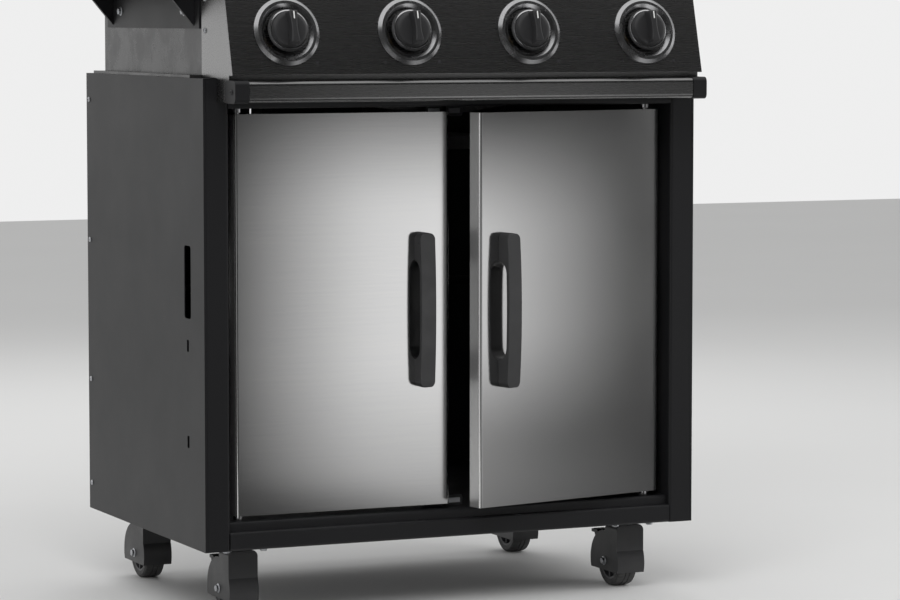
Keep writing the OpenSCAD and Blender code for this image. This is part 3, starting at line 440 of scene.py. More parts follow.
class Finish(Enum):
    """The finishes on this grill, each with the words that mark its nodes' names."""

    DOOR = BrushedSteel("door_steel", tone=0.70, rough=0.12, dull_sides=0.14), "door_skin"
    PANEL = BrushedSteel("panel_steel", tone=0.28, rough=0.27, depth=0.000001, smudge=0.004), "fascia"
    SHELF = BrushedSteel("shelf_steel", grain=Grain.ENDWISE, tone=0.56, rough=0.32), "left_shelf right_shelf"
    LID = BrushedSteel("lid_steel", tone=0.60, rough=0.27), "lid_shell"
    TRAY = BrushedSteel("tray_steel", grain=Grain.ENDWISE, tone=0.45, rough=0.40, smudge=0.12), "grease_tray"
    FRAME = PowderCoat("frame_coat", (0.010, 0.010, 0.011), 0.44), "pan stiles rail lip_caps runners brackets"
    LINER = PowderCoat("liner_coat", (0.015, 0.015, 0.016), 0.5), "liner"
    HOOD = MouldedPlastic("caster_hood", (0.02, 0.02, 0.021), 0.4), "fork"
    HANDLE = MouldedPlastic("handle_plastic", (0.032, 0.032, 0.033), 0.33), "door_handle"
    KNOB = MouldedPlastic("knob_plastic", (0.02, 0.02, 0.021), 0.36, 1900.0), "control_knob"
    CATCH = MouldedPlastic("catch_plastic", (0.012, 0.012, 0.013), 0.5), "catches"
    BRAKE = MouldedPlastic("brake_plastic", (0.05, 0.05, 0.053), 0.45), "brake"
    GRATE = CastIron("grate_iron", (0.028, 0.027, 0.026), 0.5), "grates"
    ENAMEL = CastIron("cast_enamel", (0.02, 0.02, 0.021), 0.34, (0.03, 0.028, 0.027), 0.0002, 380), "firebox ends post"
    PLATED = PlatedMetal("plated_steel", (0.72, 0.72, 0.73), 0.16), "pins plates case handle_bar warming manifold"
    BEZEL = PlatedMetal("bezel_steel", (0.55, 0.55, 0.56), 0.2), "bezels"
    BRASS = PlatedMetal("valve_brass", (0.72, 0.54, 0.25), 0.24), "valve"
    ZINC = PlatedMetal("zinc_fastener", (0.48, 0.49, 0.51), 0.3, 0.1), ""
    HEATED = HeatedSteel("burner_steel", (0.42, 0.40, 0.37), 0.38), "burner tamers"
    FOIL = CrinkledFoil("cup_foil", (0.78, 0.78, 0.79), 0.26), "cup"
    TREAD = Rubber("wheel_tread", (0.03, 0.03, 0.031), 0.62), "wheel"
    GLASS = ClearGlass("gauge_lens", (1.0, 1.0, 1.0), 0.03), "glass"
    DIAL = Paint("dial_face", (0.80, 0.80, 0.77), 0.5), "dial"
    INK = Paint("dial_ink", (0.02, 0.02, 0.022), 0.45), ""
    MARK = Paint("knob_mark", (0.7, 0.7, 0.69), 0.45), ""
    NEEDLE = Paint("needle_red", (0.55, 0.035, 0.02), 0.35), "needle"

    def coat(self, body: Object) -> None:
        """Give a piece or node this finish."""
        body.data.materials.clear()
        body.data.materials.append(self.value[0].material)

    @classmethod
    def coat_nodes(cls) -> int:
        """Coat the nodes.

        Returns:
            How many nodes were coated.
        """
        for name, node in NODES.items():
            fits = [finish for finish in cls if any(word in name for word in finish.value[1].split())]
            if len(fits) != 1:
                raise ValueError(f"finishes of {name}: {fits}")
            fits[0].coat(node)
        return len(NODES)


# ---- Modelling ----


def metres(lengths: Iterable[float]) -> Point:
    """Return lengths given in millimetres in metres."""
    return tuple(length * MM for length in lengths)


def shift(*by: float) -> Matrix:
    """Return a translation matrix from millimetres."""
    return Matrix.Translation(metres(by))


def turn(axis: str, degrees: float) -> Matrix:
    """Return a rotation matrix."""
    return Matrix.Rotation(math.radians(degrees), 4, axis)


def outward(x: float, spots: Iterable[tuple[float, float]]) -> list[Matrix]:
    """Return the places at each Y and Z on both sides, X from the middle, whose Z points outwards."""
    return [shift(s * x, y, z) @ turn("Y", 90 * s) for s in (-1, 1) for y, z in spots]


def aimed(at: Point | Vector, way: Vector) -> Matrix:
    """Return the frame of a lamp or camera that looks along a direction."""
    return Matrix.Translation(at) @ way.to_track_quat("-Z", "Y").to_matrix().to_4x4()


def mm(points: Iterable[Sequence[float]]) -> list[Vector]:
    """Return points in millimetres."""
    return [Vector(point) / MM for point in points]


def pivot(joint: str) -> Vector:
    """Return a joint's place in millimetres."""
    return Vector(JOINTS[joint]["pos_m"]) / MM


def deselect() -> None:
    """Deselect everything."""
    bpy.ops.object.select_all(action="DESELECT")


class Piece:
    """A finished object. Its lengths are millimetres."""

    def __init__(self, body: Object, name: str) -> None:
        """Take an object, and name it and its mesh."""
        self.body = body
        body.name = body.data.name = name

    def only(self) -> None:
        """Make it the only object selected."""
        deselect()
        self.body.select_set(True)
        bpy.context.view_layer.objects.active = self.body

    def soften(self, width: float, segments: int = 2, limit: float = 40.0) -> "Piece":
        """Round all sharp edges with an applied Bevel modifier.

        Args:
            width: The bevel's width.
            segments: Its segments.
            limit: Edges that turn by more than this many degrees are rounded.

        Returns:
            The piece.
        """
        self.only()
        rounding = self.body.modifiers.new("rounding", "BEVEL")
        rounding.width = width * MM
        rounding.segments = segments
        rounding.limit_method = "ANGLE"
        rounding.angle_limit = math.radians(limit)
        rounding.miter_outer = "MITER_ARC"
        bpy.ops.object.modifier_apply(modifier=rounding.name)
        bpy.ops.object.shade_smooth_by_angle(angle=SMOOTH)
        return self

    def at(self, place: Matrix) -> "Piece":
        """Carry the piece to its place, in its mesh.

        Args:
            place: Where its own frame goes.

        Returns:
            The piece.
        """
        self.only()
        self.body.matrix_world = place
        bpy.ops.object.transform_apply(location=True, rotation=True, scale=True)
        return self

    def copy(self, name: str, place: Matrix) -> "Piece":
        """Copy the piece with its own mesh.

        Args:
            name: The copy's name.
            place: What the copy's points are turned and moved by.

        Returns:
            The copy.
        """
        self.only()
        bpy.ops.object.duplicate(linked=False)
        return Piece(bpy.context.object, name).at(place)

    def spread(self, name: str, places: Iterable[Matrix]) -> "Piece":
        """Copy the piece to several places and join the copies."""
        return Piece.merge(name, [self.copy(f"{name}_{i}", place) for i, place in enumerate(places)])

    @staticmethod
    def merge(name: str, pieces: Sequence["Piece"]) -> "Piece":
        """Join pieces of one body into one.

        Args:
            name: The new piece's name.
            pieces: The pieces.

        Returns:
            The joined piece.
        """
        pieces[0].only()
        for piece in pieces[1:]:
            piece.body.select_set(True)
        bpy.ops.object.join()
        return Piece(pieces[0].body, name)

    def mount(self, body: str, finish: Finish, slot: str, *replaced: str) -> None:
        """Dress the piece and let it ride on its body.

        Args:
            body: The body that carries it.
            finish: Its finish.
            slot: Not used.
            *replaced: The nodes that it stands for.
        """
        finish.coat(self.body)
        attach(self.body, body)
        if replaced:
            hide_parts(*replaced)


class Shape:
    """A mesh that is modelled with edit-mode tools, in millimetres, and then handed over."""

    def __init__(self, name: str) -> None:
        """Take the active object, which a primitive has just made."""
        self.piece = Piece(bpy.context.object, name)
        bpy.ops.object.mode_set(mode="EDIT")

    @classmethod
    def box(cls, name: str, low: Point, high: Point) -> "Shape":
        """Start from a cube between two corners.

        Args:
            name: The piece's name.
            low: Its lowest corner.
            high: Its highest corner.

        Returns:
            The shape in edit mode, all selected.
        """
        deselect()
        bpy.ops.mesh.primitive_cube_add(size=1, location=[(a + b) / 2 * MM for a, b in zip(low, high)])
        bpy.context.object.scale = [(b - a) * MM for a, b in zip(low, high)]
        bpy.ops.object.transform_apply(location=True, rotation=False, scale=True)
        return cls(name)

    @classmethod
    def turned(cls, name: str, profile: Profile, sides: int = 48) -> Piece:
        """Turn a piece about Z: a circle that is extruded and resized ring by ring.

        Args:
            name: The piece's name.
            profile: Radius and height of each ring. One that ends where it began makes a closed ring.
            sides: Its sides.

        Returns:
            The finished piece.
        """
        deselect()
        radius, height = profile[0]
        closed = profile[0] == profile[-1]
        bpy.ops.mesh.primitive_circle_add(
            vertices=sides, radius=radius * MM, fill_type="NOTHING" if closed else "NGON", location=(0, 0, height * MM)
        )
        bpy.ops.object.transform_apply(location=True, rotation=False, scale=False)
        shape = cls(name)
        bpy.ops.mesh.select_all(action="SELECT")
        for (r0, z0), (r1, z1) in zip(profile, profile[1:]):
            shape.extrude((0, 0, z1 - z0)).resize((r1 / r0, r1 / r0, 1), (0, 0, z1))
        if closed:
            bpy.ops.mesh.select_all(action="SELECT")
            bpy.ops.mesh.remove_doubles(threshold=WELD)
        return shape.done()

    def pick(self, kind: str, test: Callable[[Vector, Vector], bool]) -> "Shape":
        """Select the faces, edges or points that pass a test.

        Args:
            kind: FACE, EDGE or VERT.
            test: Takes the middle, and a face's or point's normal or an edge's direction.

        Returns:
            The shape.
        """
        bpy.ops.mesh.select_mode(type=kind)
        bpy.ops.mesh.select_all(action="DESELECT")
        mesh = bmesh.from_edit_mesh(self.piece.body.data)
        if kind == "EDGE":
            lines = [(edge, *(vert.co for vert in edge.verts)) for edge in mesh.edges]
            found = [(edge, (a + b) / 2, (b - a).normalized()) for edge, a, b in lines]
        elif kind == "FACE":
            found = [(face, face.calc_center_median(), face.normal) for face in mesh.faces]
        else:
            found = [(vert, vert.co, vert.normal) for vert in mesh.verts]
        for element, middle, way in found:
            if test(middle / MM, way):
                element.select_set(True)
        if kind == "VERT":
            mesh.select_flush(True)
        bmesh.update_edit_mesh(self.piece.body.data)
        return self

    def cut(self, at: Point, normal: Point, off: bool = False) -> None:
        """Cut all faces along a plane. With off, what lies beyond it goes and the cut is closed."""
        bpy.ops.mesh.select_all(action="SELECT")
        bpy.ops.mesh.bisect(plane_co=metres(at), plane_no=normal, clear_outer=off, use_fill=off)

    def flatten(self) -> None:
        """Dissolve the edges that lie inside flat faces."""
        bpy.ops.mesh.select_all(action="SELECT")
        bpy.ops.mesh.dissolve_limited(angle_limit=math.radians(0.1))

    def extrude(self, by: Point) -> "Shape":
        """Extrude what is selected."""
        bpy.ops.mesh.extrude_region_move(TRANSFORM_OT_translate={"value": metres(by)})
        return self

    def move(self, by: Point) -> "Shape":
        """Move what is selected."""
        bpy.ops.transform.translate(value=metres(by))
        return self

    def resize(self, by: Point, about: Point = (0, 0, 0)) -> "Shape":
        """Resize what is selected about a point."""
        bpy.ops.transform.resize(value=by, center_override=metres(about))
        return self

    def bevel(self, width: float, segments: int) -> "Shape":
        """Bevel the selected edges."""
        bpy.ops.mesh.bevel(offset=width * MM, segments=segments, affect="EDGES", clamp_overlap=True)
        return self

    def done(self) -> Piece:
        """Leave edit mode and shade.

        Returns:
            The finished piece.
        """
        bpy.ops.mesh.select_all(action="SELECT")
        bpy.ops.mesh.normals_make_consistent(inside=False)
        bpy.ops.object.mode_set(mode="OBJECT")
        bpy.ops.object.shade_smooth_by_angle(angle=SMOOTH)
        return self.piece


# ---- Doors ----


@dataclass
class DoorHandle:
    """Moulded bow handle: a bowed grip that runs into two feet, with chamfered ends."""

    width: float = 22.5
    depth: float = 26.0
    end_depth: float = 21.5
    half: float = 110.0
    foot: float = 40.0
    grip: float = 6.5
    corner: float = 17.0
    slope: float = 15.0
    slope_in: float = 8.0
    end_round: float = 9.0
    edge: float = 3.0
    steps: int = 12

    def front(self, z: float) -> float:
        """Return how far out the bow's front is at a height."""
        return -(self.depth - (self.depth - self.end_depth) * (z / self.half) ** 2)

    def build(self, name: str) -> Piece:
        """Model the handle about its own middle, on a door in the XZ plane.

        Args:
            name: The piece's name.

        Returns:
            The handle.
        """
        w = self.width / 2
        end, half, near = self.front(self.half), self.half, 2
        inner = half - self.foot
        y_cut = self.front(inner) + self.grip
        shape = Shape.box(name, (-w, end, -half), (w, 0, -inner))
        shape.pick("VERT", lambda m, n: m.y < -1 and m.z > -inner - 1)
        shape.move((0, self.front(inner) - end, 0))
        shape.cut((0, y_cut, 0), (0, 1, 0))
        shape.pick("FACE", lambda m, n: n.z > 0.9 and m.y < y_cut)
        at = -inner
        bend = inner - self.corner - 1
        for z in (*(bend * (2 * i / self.steps - 1) for i in range(self.steps + 1)), inner):
            shape.extrude((0, self.front(z) - self.front(at), z - at))
            at = z
        shape.extrude((0, end - self.front(inner), self.foot))
        shape.pick("FACE", lambda m, n: n.y > 0.9 and m.z > inner)
        shape.extrude((0, -y_cut, 0)).resize((1, 0, 1))
        shape.flatten()
        shape.pick(
            "EDGE", lambda m, d: abs(d.x) > 0.9 and abs(m.y - y_cut) < near and abs(abs(m.z) - inner) < near
        )
        shape.bevel(self.corner, 7)
        shape.pick("EDGE", lambda m, d: abs(d.y) > 0.9 and abs(m.x) > w - near and abs(m.z) > half - near)
        shape.bevel(self.end_round, 6)
        rest = half - self.slope
        for s in (-1, 1):
            shape.cut((0, self.front(rest), s * rest), metres((0, -self.slope, s * self.slope_in)), off=True)
        return shape.done().soften(self.edge, 3, 20)


@dataclass
class Door:
    """What is fitted to one door: its handle, the liner's screws, the handle's bolts and the strike plates."""

    side: str
    screw: Piece
    bolt: Piece
    handle_in: float = 32.0
    handle_up: float = 280.0
    bolt_up: float = 90.0
    liner_inset: float = 11.0
    catch_clear: float = 36.0
    plate_in: float = 13.0
    plate_up: float = 16.0
    plate: Point = (9, 0.25, 6)

    def spot(self, x: float, y: float, z: float) -> Matrix:
        """Return the place of a fitting.

        Args:
            x: Its place across the shut left door. The right door is its mirror image.
            y: Its depth.
            z: Its height.

        Returns:
            The place on this door as it stands at rest.
        """
        if self.side == "left":
            return shift(x, y, z)
        pin = pivot("right_door_swing")
        swing = turn("Z", -JOINTS["right_door_swing"]["range_deg"][0])
        return shift(*pin) @ swing @ shift(*-pin) @ shift(-x, y, z)

    def dress(self) -> None:
        """Fit the door out."""
        low, high = mm(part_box("left_door_skin"))
        liner = mm(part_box("left_door_liner"))[1].y
        body, inset = f"{self.side}_door", self.liner_inset
        handle_x = high.x - self.handle_in - DoorHandle.width / 2
        handle_z = low.z + self.handle_up
        handle = DoorHandle().build(f"{self.side}_handle").at(self.spot(handle_x, low.y, handle_z))
        handle.mount(body, Finish.HANDLE, "handle_plastic", f"{self.side}_door_handle")
        screws = [
            (x, z)
            for x, end in ((low.x + inset, inset), (high.x - inset, self.catch_clear))
            for z in (low.z + end, (low.z + high.z) / 2, high.z - end)
        ]
        bolts = [(handle_x, handle_z + s * self.bolt_up) for s in (-1, 1)]
        for name, pattern, spots in (("liner_screws", self.screw, screws), ("handle_bolts", self.bolt, bolts)):
            places = [self.spot(x, liner, z) @ turn("X", -90) for x, z in spots]
            pattern.spread(f"{self.side}_{name}", places).mount(body, Finish.ZINC, "plated_steel")
        x, y, z = self.plate
        for end, at in (("top", high.z - self.plate_up), ("low", low.z + self.plate_up)):
            plate = Shape.box(f"{self.side}_strike_{end}", (-x, -0.2, -z), (x, y, z)).done().soften(0.15)
            plate.at(self.spot(high.x - self.plate_in, liner, at)).mount(body, Finish.ZINC, "plated_steel")


# ---- Fasteners ----


@dataclass
class Fasteners:
    """Pattern screw and bolt, and the rows of them on the cart."""

    screw_r: float = 4.0
    bolt_r: float = 5.2
    back_inset: float = 8.0
    side_inset: float = 12.0
    cheek_inset: float = 14.0
    cheek_drops: tuple[float, ...] = (18, 62)
    arm_inset: float = 60.0
    arm_drop: float = 46.0
    plate_x: float = 28.0
    plate_y: float = 26.0
    cap_in: float = 13.0

    @cached_property
    def screw(self) -> Piece:
        """Model a pan-head screw with a socket, standing on Z.

        Returns:
            The pattern screw.
        """
        r = self.screw_r
        line = (
            (0.98, 0), (1, 0.14), (0.86, 0.4), (0.6, 0.55), (0.42, 0.58), (0.38, 0.56), (0.34, 0.2), (0.05, 0.16),
        )
        return Shape.turned("pattern_screw", [(r * x, r * z) for x, z in line], 14)

    @cached_property
    def bolt(self) -> Piece:
        """Model a hexagon bolt on a flange, standing on Z.

        Returns:
            The pattern bolt.
        """
        r = self.bolt_r
        flange, head = (
            Shape.turned("pattern_bolt", [(r * x, r * z) for x, z in line], sides)
            for line, sides in (
                (((1.28, 0), (1.3, 0.12), (1, 0.3)), 20),
                (((0.98, 0.2), (0.98, 0.78), (0.84, 0.94), (0.3, 0.94)), 6),
            )
        )
        return Piece.merge("pattern_bolt", [flange, head.soften(0.25, 2, 20)])

    def rows(self) -> None:
        """Put the cart's fasteners where they go."""
        back_low, back_high = mm(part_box("back_panel"))
        left_low = mm(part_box("left_side_panel"))[0]
        cheek = mm(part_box("control_fascia"))[1]
        bracket = mm(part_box("shelf_brackets"))
        lip = mm(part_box("lip_caps"))
        x_edge = back_high.x - self.back_inset
        heights = [back_low.z + (back_high.z - back_low.z) * share for share in (0.06, 0.3, 0.62, 0.94)]
        arms = (bracket[0].y + self.arm_inset, bracket[1].y - self.arm_inset)
        rows = {
            "lip_cap_screws": outward(lip[1].x, [(lip[0].y + self.cap_in, (lip[0].z + lip[1].z) / 2)]),
            "back_screws": [shift(s * x_edge, back_high.y, z) @ turn("X", -90) for s in (-1, 1) for z in heights],
            "side_screws": outward(-left_low.x, [(back_high.y - self.side_inset, z) for z in heights]),
            "panel_screws": outward(cheek.x, [(cheek.y - self.cheek_inset, cheek.z - z) for z in self.cheek_drops]),
            "bracket_bolts": outward(cheek.x, [(y, bracket[1].z - self.arm_drop) for y in arms]),
            "caster_bolts": [
                shift(*pivot(f"caster_swivel_{corner}")) @ shift(x, y, 0) @ turn("X", 180)
                for corner in CORNERS
                for x in (-self.plate_x, self.plate_x)
                for y in (-self.plate_y, self.plate_y)
            ],
        }
        for name, places in rows.items():
            fitted = (self.bolt if name.endswith("bolts") else self.screw).spread(name, places)
            fitted.mount("cart", Finish.CATCH if name == "lip_cap_screws" else Finish.ZINC, "plated_steel")


@dataclass
class Catches:
    """Magnet faces let into the door catches."""

    margin: float = 4.0
    wall: float = 1.5
    thick: float = 1.0
    proud: float = 0.03
    catch_x: float = 16.0
    catch_half: float = 7.5

    def build(self) -> None:
        """Fit the magnets."""
        low, high = mm(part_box("door_catches"))
        half, tall = (high.x - low.x) / 4 - self.margin - self.wall, self.catch_half - self.margin
        box = Shape.box("pattern_magnet", (-half, -self.proud, -tall), (half, self.thick, tall))
        heights = (low.z + self.catch_half, high.z - self.catch_half)
        places = [shift(s * self.catch_x, low.y, z) for s in (-1, 1) for z in heights]
        box.done().soften(0.02, 1).spread("catch_magnets", places).mount("cart", Finish.ZINC, "plated_steel")


# ---- Control panel ----


def knob_frame(number: int) -> Matrix:
    """Return the frame of a knob on the fascia: X along it, Y up it, Z out of it."""
    joint = f"valve_turn_{number}"
    return shift(*pivot(joint)) @ turn("X", 90 - math.degrees(math.asin(JOINTS[joint]["axis"][2])))


@dataclass
class ControlKnob:
    """Knob with a flanged skirt, a waisted grip, a plated ring and a pointer line."""

    number: int
    skirt_r: float = 30.0
    body_r: float = 25.0
    low: float = 5.5
    top: float = 34.0
    grip: float = 15.0
    line: float = 0.9

    def build(self) -> None:
        """Model the knob and put it on its stem."""
        low, top, r, b, number = self.low, self.top, self.skirt_r, self.body_r, self.number
        profile = (
            (r - 1.2, low), (r, low + 1), (r, low + 3.6), (r - 1, low + 4.8), (b + 1.4, low + 5.2),
            (b + 0.4, low + 6.6), (b - 0.6, low + 12), (b - 2.4, low + 13.6), (b - 6, low + 14.2),
            (2, low + 14.4),
        )
        skirt = Shape.turned(f"knob_{number}", profile, 64)
        half = b - 1.2
        bar = Shape.box("knob_bar", (-self.grip / 2, -half, low + 8), (self.grip / 2, half, top))
        for y in (-0.72, -0.4, 0, 0.4, 0.72):
            bar.cut((0, y * half, 0), (0, 1, 0))
        for share, width in ((0, 0.66), (0.4, 0.72), (0.72, 0.88)):
            bar.pick("VERT", lambda m, n, s=share: abs(abs(m.y) - s * half) < 0.5).resize((width, 1, 1))
        bar.pick("VERT", lambda m, n: m.z > top - 0.5).resize((0.82, 0.93, 1), (0, 0, top))
        knob = Piece.merge(f"knob_{number}", [skirt, bar.done().soften(2.2, 4, 30)])
        r1, bed = b + 0.9, low + 4.9
        ring_line = ((r1, bed), (r1 + 2.6, bed), (r1 + 2.2, low + 6.2), (r1 + 0.5, low + 6.6), (r1, bed))
        ring = Shape.turned(f"knob_ring_{number}", ring_line, 64)
        ends = (-self.line, half * 0.42, top - 0.4), (self.line, half * 0.86, top + 0.12)
        line = Shape.box(f"knob_pointer_{number}", *ends).done().soften(0.2)
        place, body = knob_frame(number), f"knob_{number}"
        ring.at(place).mount(body, Finish.PLATED, "plated_steel")
        line.at(place).mount(body, Finish.MARK, "dial_face")
        knob.at(place).mount(body, Finish.KNOB, "handle_plastic", f"control_knob_{number}")


@dataclass
class PanelMarks:
    """Inlaid marks round each bezel: off at the top, high and low at the sides."""

    number: int
    reach: float = 60.0
    rise: float = 0.12
    sunk: float = 0.2

    def build(self) -> None:
        """Lay the marks round one bezel."""
        reach, rise = self.reach, self.rise
        off = Shape.box("mark", (-1, reach - 8, -self.sunk), (1, reach - 2, rise)).done().soften(0.08, 1)
        dots = [
            Shape.turned("mark", ((r, -self.sunk), (r, rise * 0.6), (r * 0.9, rise)), 20).at(
                turn("Z", angle) @ shift(reach, 0, 0) @ turn("Z", -angle)
            )
            for angle, r in ((-47, 2.7), (227, 1.9))
        ]
        marks = Piece.merge(f"panel_marks_{self.number}", [*dots, off]).at(knob_frame(self.number))
        marks.mount("cart", Finish.INK, "handle_plastic")


# ---- Lid ----


@dataclass
class Thermometer:
    """Printed scale of the lid's thermometer."""

    radius: float = 36.0
    face: float = -1.0
    sunk: float = 0.1
    rise: float = 0.12
    start: float = 225.0
    sweep: float = 270.0
    majors: int = 9
    per_major: int = 5
    numeral_in: float = 10.5
    numeral_size: float = 6.6

    def build(self) -> None:
        """Print the scale."""
        r, low, high = self.radius, self.face - self.sunk, self.face + self.rise
        pieces = []
        total = self.majors * self.per_major
        for i in range(total + 1):
            length, width = (2.6, 0.25) if i % self.per_major else (5, 0.55)
            tick = Shape.box("tick", (r - length, -width, low), (r, width, high)).done()
            pieces.append(tick.at(turn("Z", self.start - self.sweep * i / total)))
        ring = Shape.turned("scale_ring", ((r, low), (r + 0.6, low), (r + 0.6, high), (r, high), (r, low)), 96)
        numerals = [self.numeral(i) for i in range(0, self.majors + 1, 2)]
        joint = "gauge_needle_turn"
        tilt = math.degrees(math.asin(-JOINTS[joint]["axis"][2]))
        scale = Piece.merge("gauge_scale", [ring, *pieces, *numerals])
        scale.at(shift(*pivot(joint)) @ turn("X", 90 - tilt)).mount("lid", Finish.INK, "handle_plastic")

    def numeral(self, major: int) -> Piece:
        """Print the number of a major tick.

        Args:
            major: Which tick.

        Returns:
            The number's mesh.
        """
        deselect()
        bpy.ops.object.text_add()
        word = bpy.context.object.data
        word.body = str(major * 50)
        word.size = self.numeral_size * MM
        word.extrude = (self.sunk + self.rise) / 2 * MM
        word.resolution_u = 3
        word.align_x = word.align_y = "CENTER"
        bpy.ops.object.convert(target="MESH")
        bpy.ops.object.mode_set(mode="EDIT")
        bpy.ops.mesh.select_all(action="SELECT")
        bpy.ops.mesh.remove_doubles(threshold=0.01 * MM)
        bpy.ops.object.mode_set(mode="OBJECT")
        angle = math.radians(self.start - self.sweep * major / self.majors)
        reach = self.radius - self.numeral_in
        place = shift(reach * math.cos(angle), reach * math.sin(angle), self.face)
        return Piece(bpy.context.object, "numeral").at(place)


@dataclass
class LidFittings:
    """End caps of the handle bar, and the nuts inside the lid."""

    cap_len: float = 9.0
    post_in: float = 16.0
    nut_up: float = 2.0

    def build(self) -> None:
        """Fit them."""
        low, high = mm(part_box("lid_handle_bar"))
        axis, r, end = (low + high) / 2, (high.z - low.z) / 2, self.cap_len
        cap_line = ((r * 0.9, -end), (r + 1.2, 0.8 - end), (r + 1.2, -1.6), (r * 0.86, 0.4), (r * 0.3, 1))
        caps = Shape.turned("pattern_cap", cap_line, 40).spread("bar_caps", outward(high.x - 0.2, [(axis.y, axis.z)]))
        caps.mount("lid", Finish.KNOB, "handle_plastic")
        post = mm(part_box("lid_handle_posts"))[1]
        nut = Shape.turned("pattern_nut", ((7.5, 0), (7.5, 1.2), (5.2, 1.4), (5, 5), (2, 7.6)), 24)
        spots = [shift(s * (post.x - self.post_in), post.y + self.nut_up, axis.z) @ turn("X", -90) for s in (-1, 1)]
        nut.spread("post_nuts", spots).mount("lid", Finish.ZINC, "plated_steel")


# ---- Cooking ----


@dataclass
class Grates:
    """Cast grates: tapered bars between rounded rails."""

    pieces: int = 3
    bar: float = 7.0
    pitch: float = 16.0
    rail: float = 12.0
    gap: float = 2.0

    def build(self) -> None:
        """Cast the grates."""
        low, high = mm(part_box("cooking_grates"))
        room = (high.x - low.x + self.gap) / self.pieces
        count = int((room - 2 * self.bar) // self.pitch)
        x, y, half = self.bar / 2, self.rail / 2, (room - self.gap) / 2
        bar = Shape.box("pattern_bar", (-x, low.y + y, low.z + 0.5), (x, high.y - y, high.z))
        bar.pick("VERT", lambda m, n: m.z > high.z - 1).resize((0.62, 1, 1))
        bar.pick("VERT", lambda m, n: m.z < low.z + 1).resize((0.8, 1, 1))
        rib = bar.done().soften(1, 3, 30)
        rail = Shape.box("pattern_rail", (-half, -y, low.z), (half, y, high.z - 1)).done().soften(2.2, 4, 30)
        side = Shape.box("pattern_side", (-x, low.y, low.z), (x, high.y, high.z - 1)).done().soften(2, 3, 30)
        ys = (low.y + y, (low.y + high.y) / 2, high.y - y)
        parts = [
            rib.spread("pattern_ribs", [shift((i - (count - 1) / 2) * self.pitch, 0, 0) for i in range(count)]),
            rail.spread("pattern_rails", [shift(0, at, 0) for at in ys]),
            side.spread("pattern_sides", [shift(s * (half - x), 0, 0) for s in (-1, 1)]),
        ]
        offsets = [shift((i - (self.pieces - 1) / 2) * room, 0, 0) for i in range(self.pieces)]
        grates = Piece.merge("pattern_grate", parts).spread("grates", offsets)
        grates.mount("cart", Finish.GRATE, "grate_iron", "cooking_grates")


# ---- Casters ----


@dataclass
class Wheel:
    """Caster wheel: a grooved tread on a spoked hub."""

    radius: float = 38.0
    half: float = 15.0
    rim: float = 28.0
    bore: float = 4.05
    groove: float = 0.9
    spokes: int = 6

    def build(self) -> tuple[Piece, Piece]:
        """Model the tread and the hub about X.

        Returns:
            The tread and the hub.
        """
        r, w, rim, bore, deep = self.radius, self.half, self.rim, self.bore, self.radius - self.groove
        flank = (
            (rim, w - 1), (r - 4, w), (r - 1.2, w - 1.6), (r - 0.3, w - 4), (r, 4.4), (deep, 3.9), (deep, 3.1),
            (r, 2.6),
        )
        tread_line = [(x, -z) for x, z in flank] + [*reversed(flank), (rim, 1 - w)]
        face = (
            (bore, w), (9, w), (10, w - 1), (11, w - 5), (rim - 5, w - 6.5), (rim - 2.6, w - 1.4),
            (rim - 0.05, w - 1),
        )
        hub_line = [(x, -z) for x, z in face] + [*reversed(face), (bore, -w)]
        tread = Shape.turned("pattern_tread", tread_line, 72)
        hub = Shape.turned("pattern_hub", hub_line, 48)
        spoke = Shape.box("pattern_spoke", (9.5, -1.6, 1.6 - w), (rim - 2, 1.6, w - 1.6)).done().soften(0.7)
        spokes = spoke.spread("pattern_spokes", [turn("Z", 360 / self.spokes * i) for i in range(self.spokes)])
        hub = Piece.merge("pattern_hub", [hub, spokes])
        return tread.at(turn("Y", 90)), hub.at(turn("Y", 90))


@dataclass
class Casters:
    """Dresses the four casters."""

    bolt: Piece
    hood_half: float = 22.0
    sunk: float = 0.1
    ribs: int = 4
    rib_from: float = 12.0
    rib_pitch: float = 4.0
    rib_up: float = 2.0

    def build(self) -> None:
        """Fit wheels, axle nuts and brake ribs."""
        tread, hub = Wheel().build()
        for corner in CORNERS:
            axle, body = shift(*pivot(f"wheel_roll_{corner}")), f"wheel_{corner}"
            one = tread.copy(f"tread_{corner}", axle)
            one.mount(body, Finish.TREAD, "wheel_tread", f"caster_wheel_{corner}")
            hub.copy(f"hub_{corner}", axle).mount(body, Finish.BRAKE, "brake_red")
            ends = outward(self.hood_half - self.sunk, [(0, 0)])
            nuts = self.bolt.spread(f"axle_nuts_{corner}", [axle @ end for end in ends])
            nuts.mount(f"caster_{corner}", Finish.ZINC, "plated_steel")
        rib = Shape.box("pattern_rib", (-9, -0.9, -0.2), (9, 0.9, 0.9)).done().soften(0.4)
        for corner in CORNERS[:2]:
            low, high = mm(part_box(f"brake_lever_{corner}"))
            pin = pivot(f"brake_press_{corner}")
            steps = [pin.y + self.rib_from + self.rib_pitch * i for i in range(self.ribs)]
            places = [shift((low.x + high.x) / 2, y, pin.z + self.rib_up) for y in steps]
            rib.spread(f"brake_ribs_{corner}", places).mount(f"brake_{corner}", Finish.BRAKE, "brake_red")


# ---- Studio ----


@dataclass
class Lamp:
    """A soft box at a place, pointed at another."""

    name: str
    at: Point
    aim: Point
    size: tuple[float, float]
    watts: float

    def hang(self) -> None:
        """Hang it."""
        light = bpy.data.lights.new(self.name, "AREA")
        light.shape = "RECTANGLE"
        light.size, light.size_y = self.size
        light.energy = self.watts
        lamp = bpy.data.objects.new(self.name, light)
        bpy.context.scene.collection.objects.link(lamp)
        lamp.matrix_world = aimed(self.at, Vector(self.aim) - Vector(self.at))
        lamp.visible_camera = lamp.visible_glossy = False


